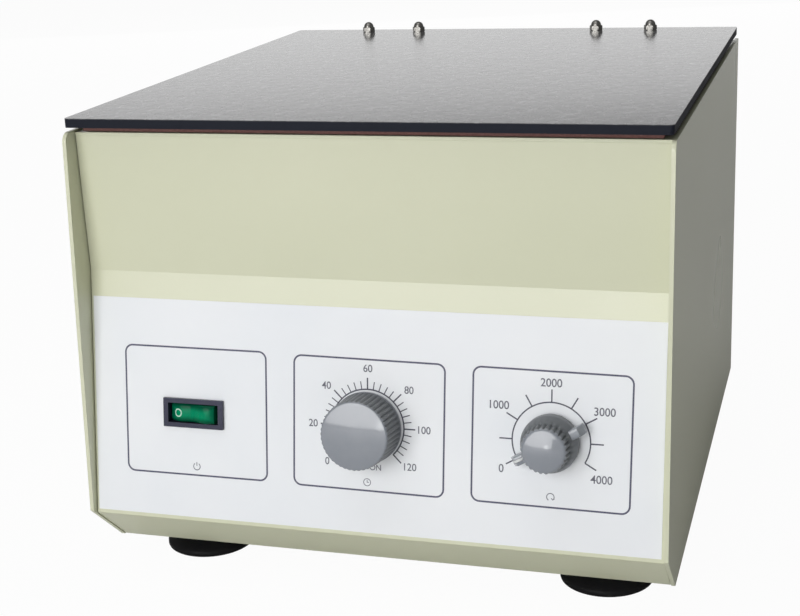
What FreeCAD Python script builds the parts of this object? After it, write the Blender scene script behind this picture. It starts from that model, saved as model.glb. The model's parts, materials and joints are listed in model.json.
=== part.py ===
import FreeCAD, Part
import os
import re
import Sketcher

# Electric bench centrifuge with a fixed-angle rotor: a folded sheet-steel case on four suction
# feet, a flat lid on two rear hinges, and a sloping control panel with a rocker switch, a
# clockwork timer and a speed potentiometer. Millimetres; +Z is up, +X is the right-hand side as
# seen from the front, and the controls face -Y. The origin is on the floor under the centre of
# the whole outline. On the case, *_in is measured back from the front corner of the side panels,
# *_rear_in forward from the back, *_side_in inward from a side and *_up from the underside. On a
# control, *_in is measured inward from its own front.

SIZES = {
    # case
    "case_width": 290,
    "case_depth": 342.3,
    "case_height": 216,
    "cheek_sheet": 2,
    "cheek_rise": 1,
    "cheek_lean": 12.5,
    "cheek_nose": 5,
    "cheek_flange": 16,
    "chamfer_height": 26.5,
    "chamfer_depth": 29.4,
    "sheet": 1.5,
    "panel_fit": 0.3,
    "panel_foot_in": 3.1,
    "panel_foot_up": 24.5,
    "panel_lean": 9,
    "panel_length": 124,
    "wall_top_in": 21.5,
    "top_flange": 13,
    "base_flange": 20,
    "base_lip": 10,
    # printed label on the control panel
    "label_side_in": 3.5,
    "label_start": 2,
    "label_length": 109,
    "label_sheet": 0.3,
    # lid, gasket and hinges
    "lid_gap": 3.5,
    "lid_thickness": 4.5,
    "lid_front_in": 13.7,
    "lid_back_over": 0.5,
    "lid_side_in": 1,
    "lid_corner": 2,
    "gasket_height": 3.2,
    "gasket_strip": 9,
    "gasket_side_in": 6,
    "gasket_front_in": 22.3,
    "gasket_rear_in": 20.3,
    "hinge_side_in": 70,
    "hinge_width": 54,
    "hinge_sheet": 1.5,
    "knuckle_radius": 3,
    "knuckle_length": 18,
    "knuckle_gap": 0.4,
    "hinge_clear": 0.4,
    "pin_radius": 1.5,
    "pin_fit": 0.05,
    "lid_leaf_reach": 22,
    "case_leaf_drop": 26,
    "hinge_screw_spread": 16,
    "hinge_screw_drop": 17,
    "lid_nut_spread": 17,
    "lid_nut_in": 11,
    "lid_bolt_radius": 2.5,
    "lid_bolt_head": 4.6,
    "lid_bolt_head_height": 1.3,
    "lid_nut_flats": 8,
    "lid_nut_hex": 3.6,
    "lid_nut_dome": 3.8,
    "lid_nut_height": 7,
    "lid_nut_bore": 5,
    "thread_fit": 0.05,
    # chamber bowl
    "bowl_clear": 12,
    "bowl_up": 102.8,
    "bowl_sheet": 1.2,
    "bowl_flange": 10,
    "bowl_corner": 25,
    "bowl_fit": 0.4,
    "bowl_hole": 18,
    "bowl_screw_out": 5.6,
    "bowl_screw_length": 6,
    "grommet_hole": 11,
    "grommet_groove": 3,
    "grommet_lip": 2,
    # fixed-angle rotor
    "rotor_drop": 26,
    "tilt": 35,
    "socket_count": 6,
    "socket_circle": 42,
    "plate_thickness": 24,
    "rim_radius": 60,
    "hub_radius": 16,
    "hub_low_radius": 18,
    "hub_top_drop": 12,
    "hub_drop": 54,
    "sleeve_bore": 9,
    "sleeve_wall": 1.2,
    "sleeve_clear": 22.1,
    "sleeve_round": 7.2,
    "sleeve_flange": 2.8,
    "sleeve_flange_thickness": 2,
    "sleeve_fit": 0.15,
    "rotor_nut_flats": 15,
    "rotor_nut_height": 9,
    # motor and its carrier
    "shaft_radius": 4,
    "shaft_fit": 0.05,
    "shaft_end": 2.5,
    "damper_circle": 54,
    "damper_radius": 9,
    "damper_height": 18,
    "damper_bolt": 2.5,
    "motor_plate_radius": 66,
    "motor_plate_sheet": 2.5,
    "can_radius": 42,
    "can_wall": 2.5,
    "can_height": 62,
    "can_floor": 3,
    "bearing_radius": 9,
    "bearing_width": 6,
    "bearing_wall": 3,
    "bearing_shelf": 2,
    "cap_thickness": 4,
    "cap_hole": 4.6,
    "core_radius": 26,
    "core_start": 18,
    "core_height": 22,
    "winding_radius": 21,
    "winding_height": 5,
    "commutator_radius": 11,
    "commutator_height": 11,
    "magnet_gap": 1.2,
    "magnet_start": 12,
    "magnet_height": 34,
    "magnet_angle": 130,
    "holder_in": 13.2,
    "holder_end": 2,
    "holder_length": 22,
    "holder_width": 10,
    "holder_height": 10,
    "brush_width": 6,
    "brush_height": 5,
    "brush_length": 14,
    "brush_gap": 0.3,
    "motor_screw_circle": 28,
    # controls on the sloping panel: places across and up it
    "switch_side_in": 56.8,
    "timer_across": 1.1,
    "speed_side_in": 55.1,
    "switch_up": 54.9,
    "timer_up": 54,
    "speed_up": 53.1,
    "switch_frame_long": 31.5,
    "switch_frame_high": 14.4,
    "switch_frame_proud": 1.8,
    "switch_body_long": 28,
    "switch_body_high": 12,
    "switch_body_deep": 16,
    "switch_cavity_long": 26.4,
    "switch_cavity_high": 9.8,
    "switch_cavity_deep": 12,
    "cutout_fit": 0.25,
    "rocker_half": 12.1,
    "rocker_high": 9.2,
    "rocker_pivot_in": 2,
    "rocker_tilt": 9,
    "rocker_end": 5.4,
    "rocker_middle": 3.6,
    "rocker_knee": 5.4,
    "rocker_knee_out": 4.1,
    "rocker_side": 11.6,
    "rocker_side_in": 2,
    "rocker_belly": 6,
    "rocker_belly_half": 6,
    "rocker_pin": 1.2,
    "blade_thick": 0.8,
    "blade_wide": 4.7,
    "blade_long": 8,
    "blade_pitch": 9.3,
    "control_shaft": 3,
    "control_shaft_out": 14,
    "bush_radius": 4.5,
    "bush_out": 5,
    "nut_flats": 12,
    "nut_height": 2.4,
    "knob_lift": 0.8,
    "knob_recess": 8.5,
    "knob_recess_deep": 5,
    "timer_knob_skirt": 17.3,
    "timer_knob_skirt_thick": 1.4,
    "timer_knob_radius": 17,
    "timer_knob_face": 16.6,
    "timer_knob_height": 20.5,
    "timer_knob_dome": 0.9,
    "timer_knob_round": 1.4,
    "timer_flute_count": 44,
    "timer_flute_circle": 17.15,
    "timer_flute_low": 1.8,
    "timer_shaft_in": 16.8,
    "timer_bore_in": 19.6,
    "flute_radius": 0.75,
    "timer_body_side": 44,
    "timer_body_deep": 28,
    "speed_skirt_radius": 13.4,
    "speed_skirt_height": 4.6,
    "speed_neck_radius": 11.9,
    "speed_cap_low": 11.2,
    "speed_cap_radius": 11.1,
    "speed_cap_face": 10.9,
    "speed_knob_height": 19.8,
    "speed_knob_dome": 0.4,
    "speed_knob_round": 2.2,
    "speed_flute_count": 26,
    "speed_flute_circle": 11.3,
    "pointer_length": 37.4,
    "pointer_width": 4.6,
    "pointer_height": 10,
    "pointer_thick": 6.4,
    "pointer_run": 2.4,
    "pointer_slope": 56,
    "pointer_angle": 119,
    "pot_radius": 12,
    "pot_deep": 11,
    "pot_shaft_in": 6.6,
    "pot_bore_in": 7.7,
    "pot_tags_wide": 14,
    "pot_tags_thick": 1.5,
    # control board on the base
    "board_side_in": 61,
    "board_in": 86,
    "board_length": 88,
    "board_width": 52,
    "board_sheet": 1.6,
    "board_lift": 10,
    "standoff_radius": 3,
    "standoff_inset": 5,
    "capacitor_radius": 8,
    "capacitor_height": 22,
    "capacitor_x": -22,
    "capacitor_y": 8,
    "small_capacitor_radius": 5,
    "small_capacitor_height": 14,
    "small_capacitor_x": -2,
    "small_capacitor_y": 12,
    "relay_long": 20,
    "relay_wide": 15,
    "relay_high": 16,
    "relay_x": -16,
    "relay_y": -12,
    "terminals_long": 24,
    "terminals_wide": 9,
    "terminals_high": 11,
    "terminals_x": 14,
    "terminals_y": -15,
    "chip_long": 20,
    "chip_wide": 7,
    "chip_high": 3.5,
    "chip_x": 10,
    "chip_y": -3,
    "sink_thick": 3,
    "sink_wide": 24,
    "sink_high": 26,
    "sink_x": 26,
    "sink_y": 6,
    "fin_count": 5,
    "fin_reach": 10,
    "fin_thick": 1.4,
    "fin_pitch": 5.3,
    # mains inlet and fuse on the back
    "inlet_side_in": 60,
    "inlet_up": 48,
    "inlet_flange_long": 50,
    "inlet_flange_high": 24,
    "inlet_flange_thick": 2.5,
    "inlet_body_long": 27.6,
    "inlet_body_high": 20,
    "inlet_body_deep": 22,
    "inlet_cavity_long": 24,
    "inlet_cavity_high": 16.5,
    "inlet_cavity_deep": 17,
    "inlet_pin_length": 11,
    "inlet_pin_thick": 2,
    "inlet_pin_wide": 4,
    "inlet_pin_spread": 7,
    "inlet_pin_off": 2,
    "inlet_screw_spread": 20,
    "fuse_side_in": 109,
    "fuse_radius": 6,
    "fuse_deep": 30,
    "fuse_cap_radius": 8,
    "fuse_cap_out": 5,
    "fuse_slot_wide": 1.6,
    "fuse_slot_long": 10,
    "fuse_slot_deep": 1.5,
    "vent_length": 30,
    "vent_height": 3,
    "vent_pitch": 9,
    "vent_rows": 6,
    "vent_up": 84,
    "vent_spread": 40,
    # feet
    "foot_height": 14,
    "foot_radius": 23.4,
    "foot_rim": 3,
    "foot_edge": 3,
    "foot_neck": 11,
    "foot_neck_height": 4,
    "foot_shoulder": 5,
    "foot_hollow": 4,
    "foot_well_radius": 5.5,
    "foot_well_top": 6.5,
    "foot_screw_head": 5,
    "foot_screw_head_height": 2.2,
    "foot_screw_end": 1,
    "foot_side_in": 37.5,
    "foot_front_in": 60.2,
    "foot_rear_in": 48,
    # small fasteners
    "screw_radius": 2,
    "screw_head": 3.6,
    "screw_head_height": 1.9,
    "screw_fit": 0.2,
    "overlap": 1,
    "case_screw_in": 9,
    "case_screw_low": 40,
    "case_screw_top": 20,
    "nut_m5_flats": 8,
    "nut_m5_height": 4,
}

doc = FreeCAD.newDocument("BenchCentrifuge")
sheet = doc.addObject("Spreadsheet::Sheet", "Sizes")
for row, (alias, size) in enumerate(SIZES.items(), start=1):
    sheet.set(f"A{row}", alias)
    sheet.set(f"B{row}", str(size))
    sheet.setAlias(f"B{row}", alias)
probe = doc.addObject("App::FeaturePython", "Probe")
probe.addProperty("App::PropertyFloat", "Value")
doc.recompute()

# Places that several pieces share, as formulas of the sheet. The timer's knob reaches furthest
# forward and the hinge knuckles furthest back.
KNOB_REACH = (
    "((label_sheet + timer_knob_height - timer_knob_round) * cos(panel_lean) + timer_knob_round"
    " + (timer_knob_face - timer_knob_round) * sin(panel_lean)"
    " - panel_foot_in - timer_up * sin(panel_lean))"
)
FRONT = f"(({KNOB_REACH} - case_depth - hinge_clear - 2 * knuckle_radius) / 2)"
BACK = f"({FRONT} + case_depth)"
UNDERSIDE = "foot_height"
FLOOR = "(foot_height + sheet)"
DECK = "(foot_height + case_height)"
LID = f"({DECK} + lid_gap)"
INSIDE = "(case_width - 2 * cheek_sheet - 2 * panel_fit)"
GASKET_BACK = "(case_depth - gasket_rear_in)"
BOWL = "(case_width / 2 - gasket_side_in - gasket_strip - bowl_clear - bowl_flange)"
CHAMBER = f"({FRONT} + (gasket_front_in + {GASKET_BACK}) / 2)"
BOWL_DEPTH = "(case_height - bowl_up - bowl_sheet)"
ROTOR = f"({DECK} - rotor_drop)"
SLEEVE = f"(({BOWL_DEPTH} - rotor_drop - sleeve_clear) / cos(tilt))"
MOTOR = f"({FLOOR} + damper_height + motor_plate_sheet)"
HINGE_Y = f"({BACK} + hinge_clear + knuckle_radius)"
HINGE_Z = f"({LID} - knuckle_radius)"
LID_NUT_Y = f"({BACK} - lid_nut_in)"
HINGE_X = "(case_width / 2 - hinge_side_in)"
SWITCH_X = "(switch_side_in - case_width / 2)"
CONTROL_X = {"timer": "timer_across", "speed": "(case_width / 2 - speed_side_in)"}
BOARD_X = "(board_side_in - case_width / 2)"
INLET_X = "(case_width / 2 - inlet_side_in)"
FUSE_X = "(case_width / 2 - fuse_side_in)"
LEVEL = [((0, 0, 1), "0")]
ALONG_X = [((0, 1, 0), "90")]
ALONG_Y = [((1, 0, 0), "90")]
BEHIND = [((0, 0, 1), "180"), ((1, 0, 0), "90")]
ON_PANEL = [((1, 0, 0), "90 - panel_lean")]
UPSIDE_DOWN = [((1, 0, 0), "180")]
ORIGIN = ("0", "0", "0")
SIDES = ("-1", "1")
ENDS = {"-1": "a", "1": "b"}
DAMPER_ANGLES = (90, 210, 330)
MOTOR_SCREW_ANGLES = (30, 150, 270)
BOWL_SCREW_ANGLES = (0, 60, 120, 180, 240, 300)

# Spots that a hole in one piece and the fastener in another share.
CASE_SCREW_X = "(case_width / 2 - cheek_sheet - case_screw_in)"
CASE_SCREW_UPS = ("case_screw_low", "case_height - case_screw_top")
FOOT_SPOTS = [
    (f"{sign} * (case_width / 2 - foot_side_in)", f"{FRONT} + {depth}")
    for depth in ("foot_front_in", "case_depth - foot_rear_in")
    for sign in SIDES
]
DAMPER_SPOTS = [
    (f"damper_circle * cos({angle})", f"{CHAMBER} + damper_circle * sin({angle})")
    for angle in DAMPER_ANGLES
]
STANDOFF_SPOTS = [
    (f"{BOARD_X} + {sx} * (board_length / 2 - standoff_inset)",
     f"{FRONT} + board_in + {sy} * (board_width / 2 - standoff_inset)")
    for sx in SIDES
    for sy in SIDES
]
CASE_SCREW_SPOTS = [
    (f"{sign} * {CASE_SCREW_X}", up) for sign in SIDES for up in CASE_SCREW_UPS
]
HINGE_SCREW_SPOTS = [
    (f"{side} * {HINGE_X} + {sign} * hinge_screw_spread",
     "case_height + lid_gap - knuckle_radius - hinge_screw_drop")
    for side in SIDES
    for sign in SIDES
]
INLET_SCREW_SPOTS = [
    (f"{INLET_X} + {sign} * inlet_screw_spread", "inlet_up") for sign in SIDES
]
BACK_SCREW_SPOTS = CASE_SCREW_SPOTS + HINGE_SCREW_SPOTS + INLET_SCREW_SPOTS
BOWL_SCREW_SPOTS = [
    (f"({BOWL} + bowl_screw_out) * cos({angle})",
     f"{CHAMBER} + ({BOWL} + bowl_screw_out) * sin({angle})")
    for angle in BOWL_SCREW_ANGLES
]
LID_NUT_XS = [
    f"{side} * {HINGE_X} + {sign} * lid_nut_spread" for side in SIDES for sign in SIDES
]

kept = []


def formula(text):
    """Formula with the sheet's name put before each of its aliases."""
    return re.sub(r"[a-z_][a-z0-9_]*", lambda m: "Sizes." + m[0] if m[0] in SIZES else m[0], text)


def number(text):
    """Value of a formula, worked out by the document."""
    probe.setExpression("Value", formula(text))
    probe.recompute()
    return probe.Value


def bind(item, **sizes):
    for name, text in sizes.items():
        item.setExpression(name, formula(text))
    return item


def placement(spot, turns):
    """Formula of a placement: a spot, and turns about one or more axes."""
    where = f"create(<<vector>>; {spot[0]}; {spot[1]}; {spot[2]})"
    rotation = " * ".join(
        f"create(<<rotation>>; create(<<vector>>; {axis[0]}; {axis[1]}; {axis[2]}); {angle})"
        for axis, angle in (turns or LEVEL)
    )
    return f"create(<<placement>>; {where}; {rotation})"


def place(item, spot, turns=()):
    """Puts an object at a spot, turned about one or more axes, the last turn made first."""
    item.setExpression("Placement", formula(placement(spot, turns)))
    return item


def keep(item, node):
    """Marks an object as a finished sub-part under its own name."""
    item.Label = node
    kept.append(item)
    return item


def box(name, size, spot=ORIGIN, turns=()):
    """Block standing on its spot: centred in its own X and Y, upward from its own Z."""
    item = doc.addObject("Part::Box", name)
    bind(item, Length=size[0], Width=size[1], Height=size[2])
    centring = placement((f"-({size[0]}) / 2", f"-({size[1]}) / 2", "0"), LEVEL)
    item.setExpression("Placement", formula(f"{placement(spot, turns)} * {centring}"))
    return item


def rod(name, radius, length, spot=ORIGIN, turns=()):
    item = doc.addObject("Part::Cylinder", name)
    bind(item, Radius=radius, Height=length)
    return place(item, spot, turns)


def hexagon(name, flats, height, spot=ORIGIN, turns=()):
    item = doc.addObject("Part::Prism", name)
    item.Polygon = 6
    bind(item, Circumradius=f"({flats}) / 2 / cos(30)", Height=height)
    return place(item, spot, turns)


def group(name, items, spot=ORIGIN, turns=()):
    """Separate solids kept side by side in one object."""
    item = doc.addObject("Part::Compound", name)
    item.Links = items
    return place(item, spot, turns)


def fuse(name, items, spot=ORIGIN, turns=()):
    item = doc.addObject("Part::MultiFuse", name)
    item.Shapes = items
    item.Refine = True
    return place(item, spot, turns)


def cut(name, base, tools, spot=ORIGIN, turns=()):
    item = doc.addObject("Part::Cut", name)
    item.Base = base
    item.Tool = tools[0] if len(tools) == 1 else group(name + "_tools", tools)
    item.Refine = True
    return place(item, spot, turns)


def ring(name, outer, inner, length, spot=ORIGIN, turns=()):
    tools = [rod(name + "_hole", inner, length)]
    return cut(name, rod(name + "_round", outer, length), tools, spot, turns)


def screw(name, head, head_height, shank, length, spot, turns=()):
    """Screw whose head stands on its spot along its own +Z and whose shank goes down."""
    parts = [
        rod(name + "_head", head, head_height),
        rod(name + "_shank", shank, length, ("0", "0", f"-({length})")),
    ]
    return fuse(name, parts, spot, turns)


def nut(name, flats, height, hole, spot=ORIGIN, turns=()):
    return cut(name, hexagon(name + "_hex", flats, height), [rod(name + "_hole", hole, height)],
               spot, turns)


def body(name, spot=ORIGIN, turns=()):
    return place(doc.addObject("PartDesign::Body", name), spot, turns)


def outline(owner, role, points):
    """Closed outline of straight runs in one of a body's origin planes, each corner bound."""
    sketch = owner.newObject("Sketcher::SketchObject", owner.Name + "_outline")
    plane = [item for item in owner.Origin.OriginFeatures if item.Role == role][0]
    sketch.AttachmentSupport = [(plane, "")]
    sketch.MapMode = "FlatFace"
    corners = [FreeCAD.Vector(number(across), number(up), 0) for across, up in points]
    count = len(corners)
    for index in range(count):
        sketch.addGeometry(Part.LineSegment(corners[index], corners[(index + 1) % count]))
    for index in range(count):
        after = (index + 1) % count
        sketch.addConstraint(Sketcher.Constraint("Coincident", index, 2, after, 1))
    for index, (across, up) in enumerate(points):
        corner = corners[index]
        for kind, value, text in (("DistanceX", corner.x, across), ("DistanceY", corner.y, up)):
            rule = sketch.addConstraint(Sketcher.Constraint(kind, -1, 1, index, 1, value))
            sketch.setExpression(f"Constraints[{rule}]", formula(text))
    return sketch


def padded(name, role, points, length, spot, centred=True):
    """Body pushed out from an outline: one folded or flat sheet."""
    owner = body(name, spot)
    sketch = outline(owner, role, points)
    pad = owner.newObject("PartDesign::Pad", name + "_pad")
    pad.Profile = sketch
    pad.SideType = "Symmetric" if centred else "One side"
    bind(pad, Length=length)
    doc.recompute()
    return owner


def turned(name, points, spot=ORIGIN, turns=()):
    """Body turned about its own Z from an outline of radius and height."""
    owner = body(name, spot, turns)
    sketch = outline(owner, "XZ_Plane", points)
    spin = owner.newObject("PartDesign::Revolution", name + "_turn")
    spin.Profile = sketch
    spin.ReferenceAxis = (sketch, ["V_Axis"])
    spin.Angle = 360
    doc.recompute()
    return owner


def rounded(owner, chosen, radius, tag):
    """Rounds the edges of a body's last feature that the test picks."""
    base = owner.Tip
    names = [f"Edge{index}" for index, edge in enumerate(base.Shape.Edges, start=1) if chosen(edge)]
    fillet = owner.newObject("PartDesign::Fillet", owner.Name + "_" + tag)
    fillet.Base = (base, names)
    bind(fillet, Radius=radius)
    doc.recompute()
    return owner


def near(value, text, slack=0.01):
    return abs(value - number(text)) < slack


def circle_at(radius, height):
    """Test for a body's round edge of a given radius at a given height."""
    def chosen(edge):
        if not isinstance(edge.Curve, Part.Circle):
            return False
        return near(edge.Curve.Radius, radius) and near(edge.Curve.Center.z, height)
    return chosen


def on_panel(across, up, out="0"):
    """Spot on the sloping control panel: across it, up its slope and out from its face."""
    y = f"{FRONT} + panel_foot_in + ({up}) * sin(panel_lean) - ({out}) * cos(panel_lean)"
    z = f"foot_height + panel_foot_up + ({up}) * cos(panel_lean) + ({out}) * sin(panel_lean)"
    return across, y, z


def on_back(across, up, out="0"):
    """Spot on the back panel, given across and up the case and out from its face."""
    return across, f"{BACK} + ({out})", f"foot_height + ({up})"


def side_panels():
    """Two flat cheeks with a leaning front edge, a chamfered foot and a folded rear flange."""
    profile = [
        ("chamfer_depth", "0"),
        ("0", "chamfer_height"),
        ("cheek_lean", "case_height + cheek_rise"),
        ("case_depth", "case_height + cheek_rise"),
        ("case_depth", "0"),
    ]
    flange_start = "base_flange + panel_fit"
    flange_end = "case_height - 2 * sheet - panel_fit"
    for side, sign in (("left", "-1"), ("right", "1")):
        start = f"({sign} * (case_width - cheek_sheet) / 2 - cheek_sheet / 2)"
        plate = padded(f"{side}_plate", "YZ_Plane", profile, "cheek_sheet",
                       (start, FRONT, UNDERSIDE), centred=False)
        top = number("case_height + cheek_rise")
        nose = number("cheek_lean")

        def at_nose(edge, top=top, nose=nose):
            ends = [vertex.Point for vertex in edge.Vertexes]
            return all(abs(p.y - nose) < 0.01 and abs(p.z - top) < 0.01 for p in ends)

        rounded(plate, at_nose, "cheek_nose", "nose")
        middle = f"{sign} * (case_width / 2 - cheek_sheet - cheek_flange / 2)"
        flange = box(f"{side}_flange", ("cheek_flange", "sheet", f"{flange_end} - ({flange_start})"),
                     (middle, f"{BACK} - 1.5 * sheet", f"{UNDERSIDE} + {flange_start}"))
        holes = [
            rod(f"{side}_flange_hole_{index}", "screw_radius + thread_fit", "4 * sheet",
                on_back(f"{sign} * {CASE_SCREW_X}", up, "sheet"), ALONG_Y)
            for index, up in enumerate(CASE_SCREW_UPS)
        ]
        joined = fuse(f"{side}_bent", [plate, flange])
        keep(cut(f"side_panel_{side}", joined, holes), f"side_panel_{side}")


def control_cutouts(name, depth, fit):
    """Tools for the switch window and the two bush holes, through the panel and its label."""
    window = ("switch_body_long + 2 * cutout_fit + " + fit, "switch_body_high + 2 * cutout_fit + " + fit)
    inward = f"-({depth})"
    length = f"2 * ({depth})"
    tools = [box(f"{name}_window", (window[0], window[1], length),
                 on_panel(SWITCH_X, "switch_up", inward), ON_PANEL)]
    for control in CONTROL_X:
        tools.append(rod(f"{name}_{control}_hole", f"bush_radius + cutout_fit + {fit}", length,
                         on_panel(CONTROL_X[control], f"{control}_up", inward), ON_PANEL))
    return tools


def front_panel():
    """One bent sheet: sloping control panel below, wall above, and a flange under the deck."""
    bend_in = "panel_foot_in + panel_length * sin(panel_lean)"
    bend_up = "panel_foot_up + panel_length * cos(panel_lean)"
    profile = [
        ("panel_foot_in", "panel_foot_up"),
        (bend_in, bend_up),
        ("wall_top_in", "case_height - sheet"),
        ("wall_top_in + top_flange", "case_height - sheet"),
        ("wall_top_in + top_flange", "case_height - 2 * sheet"),
        ("wall_top_in + sheet", "case_height - 2 * sheet"),
        (f"{bend_in} + sheet", bend_up),
        ("panel_foot_in + sheet / cos(panel_lean)", "panel_foot_up"),
    ]
    sheet_metal = padded("front_sheet", "YZ_Plane", profile, INSIDE, ("0", FRONT, UNDERSIDE))
    keep(cut("front_panel", sheet_metal, control_cutouts("front", "6 * sheet", "0")), "front_panel")
    label = box("label_blank", ("case_width - 2 * label_side_in", "label_length", "label_sheet"),
                on_panel("0", "label_start + label_length / 2"), ON_PANEL)
    keep(cut("control_label", label, control_cutouts("label", "4 * sheet", "0")), "control_label")


def base_pan():
    """Folded tray: lip behind the front panel, chamfer, floor and rear flange."""
    lip_face = "panel_foot_in + sheet / cos(panel_lean)"
    lip_back = "panel_foot_in + 2 * sheet / cos(panel_lean)"
    run = "panel_foot_in + panel_foot_up * chamfer_depth / chamfer_height"
    profile = [
        ("panel_foot_in", "panel_foot_up"),
        (run, "0"),
        ("case_depth - sheet", "0"),
        ("case_depth - sheet", "base_flange"),
        ("case_depth - 2 * sheet", "base_flange"),
        ("case_depth - 2 * sheet", "sheet"),
        (f"{run} + sheet / 2", "sheet"),
        (lip_back, "panel_foot_up - sheet / 2"),
        (f"{lip_back} + base_lip * tan(panel_lean)", "panel_foot_up + base_lip"),
        (f"{lip_face} + base_lip * tan(panel_lean)", "panel_foot_up + base_lip"),
        (lip_face, "panel_foot_up"),
    ]
    tray = padded("base_sheet", "YZ_Plane", profile, INSIDE, ("0", FRONT, UNDERSIDE))
    holes = []
    for index, (x, y) in enumerate(FOOT_SPOTS):
        holes.append(rod(f"base_foot_hole_{index}", "damper_bolt + screw_fit", "4 * sheet",
                         (x, y, f"{UNDERSIDE} - sheet")))
    for index, (x, y) in enumerate(DAMPER_SPOTS):
        holes.append(rod(f"base_damper_hole_{index}", "damper_bolt + screw_fit", "4 * sheet",
                         (x, y, f"{UNDERSIDE} - sheet")))
    for index, (x, y) in enumerate(STANDOFF_SPOTS):
        holes.append(rod(f"base_board_hole_{index}", "standoff_radius / 2 + screw_fit", "4 * sheet",
                         (x, y, f"{UNDERSIDE} - sheet")))
    keep(cut("base_pan", tray, holes), "base_pan")


def back_panel():
    """Flat sheet with a top flange, the inlet and fuse openings and two banks of vent slots."""
    profile = [
        ("case_depth", "0"),
        ("case_depth", "case_height - sheet"),
        ("case_depth - top_flange", "case_height - sheet"),
        ("case_depth - top_flange", "case_height - 2 * sheet"),
        ("case_depth - sheet", "case_height - 2 * sheet"),
        ("case_depth - sheet", "0"),
    ]
    sheet_metal = padded("back_sheet", "YZ_Plane", profile, INSIDE, ("0", FRONT, UNDERSIDE))
    through = "4 * sheet"
    inward = "-3 * sheet"
    tools = [
        box("back_inlet_window",
            ("inlet_body_long + 2 * cutout_fit", "inlet_body_high + 2 * cutout_fit", through),
            on_back(INLET_X, "inlet_up", inward), BEHIND),
        rod("back_fuse_hole", "fuse_radius + cutout_fit", through,
            on_back(FUSE_X, "inlet_up", inward), BEHIND),
    ]
    for index, (across, up) in enumerate(BACK_SCREW_SPOTS):
        tools.append(rod(f"back_screw_hole_{index}", "screw_radius + screw_fit", through,
                         on_back(across, up, inward), BEHIND))
    for side in SIDES:
        for row in range(SIZES["vent_rows"]):
            tools.append(box(f"vent_{'left' if side == '-1' else 'right'}_{row}",
                             ("vent_length", "vent_height", through),
                             on_back(f"{side} * vent_spread", f"vent_up + {row} * vent_pitch", inward),
                             BEHIND))
    keep(cut("back_panel", sheet_metal, tools), "back_panel")


def panel_screws():
    """Pan-head screws on the back: case corners, case leaves of the hinges, and the inlet."""
    banks = (
        (CASE_SCREW_SPOTS, "0"),
        (HINGE_SCREW_SPOTS, "hinge_sheet"),
        (INLET_SCREW_SPOTS, "inlet_flange_thick"),
    )
    screws = [
        screw(f"panel_screw_{bank}_{index}", "screw_head", "screw_head_height", "screw_radius",
              f"{stack} + 3 * sheet", on_back(across, up, stack), BEHIND)
        for bank, (spots, stack) in enumerate(banks)
        for index, (across, up) in enumerate(spots)
    ]
    keep(group("panel_screws", screws), "panel_screws")


def top_deck():
    """Flat cover sheet round the mouth of the bowl, resting on the front and rear flanges."""
    depth = "case_depth - wall_top_in"
    plate = box("deck_blank", (INSIDE, depth, "sheet"),
                ("0", f"{FRONT} + wall_top_in + ({depth}) / 2", f"{DECK} - sheet"))
    tools = [rod("deck_mouth", f"{BOWL} + bowl_sheet + bowl_fit", "4 * sheet",
                 ("0", CHAMBER, f"{DECK} - 2 * sheet"))]
    for index, (x, y) in enumerate(BOWL_SCREW_SPOTS):
        tools.append(rod(f"deck_hole_{index}", "screw_radius + thread_fit", "4 * sheet",
                         (x, y, f"{DECK} - 2 * sheet")))
    keep(cut("top_deck", plate, tools), "top_deck")


def chamber():
    """Spun bowl hung by its flange on the deck, with its screws and the shaft-hole grommet."""
    outer = f"{BOWL} + bowl_sheet"
    profile = [
        (f"{BOWL} + bowl_flange", "bowl_sheet"),
        (BOWL, "bowl_sheet"),
        (BOWL, f"-{BOWL_DEPTH}"),
        ("bowl_hole", f"-{BOWL_DEPTH}"),
        ("bowl_hole", f"-{BOWL_DEPTH} - bowl_sheet"),
        (outer, f"-{BOWL_DEPTH} - bowl_sheet"),
        (outer, "0"),
        (f"{BOWL} + bowl_flange", "0"),
    ]
    bowl = turned("bowl_turned", profile, ("0", CHAMBER, DECK))
    rounded(bowl, circle_at(BOWL, f"-{BOWL_DEPTH}"), "bowl_corner", "inner_corner")
    rounded(bowl, circle_at(outer, f"-{BOWL_DEPTH} - bowl_sheet"), "bowl_corner + bowl_sheet",
            "outer_corner")
    holes = [
        rod(f"bowl_screw_hole_{index}", "screw_radius + screw_fit", "6 * bowl_sheet",
            (x, y, f"{DECK} - 2 * bowl_sheet"))
        for index, (x, y) in enumerate(BOWL_SCREW_SPOTS)
    ]
    keep(cut("chamber_bowl", bowl, holes), "chamber_bowl")
    screws = [
        screw(f"bowl_screw_{index}", "screw_head", "screw_head_height", "screw_radius",
              "bowl_screw_length", (x, y, f"{DECK} + bowl_sheet"))
        for index, (x, y) in enumerate(BOWL_SCREW_SPOTS)
    ]
    keep(group("bowl_screws", screws), "bowl_screws")
    lip = "grommet_lip + bowl_sheet / 2"
    profile = [
        ("grommet_hole", f"-({lip})"),
        ("bowl_hole + grommet_groove", f"-({lip})"),
        ("bowl_hole + grommet_groove", "-bowl_sheet / 2"),
        ("bowl_hole", "-bowl_sheet / 2"),
        ("bowl_hole", "bowl_sheet / 2"),
        ("bowl_hole + grommet_groove", "bowl_sheet / 2"),
        ("bowl_hole + grommet_groove", lip),
        ("grommet_hole", lip),
    ]
    ring_spot = ("0", CHAMBER, f"{UNDERSIDE} + bowl_up + bowl_sheet / 2")
    keep(turned("bowl_grommet", profile, ring_spot), "bowl_grommet")


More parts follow.
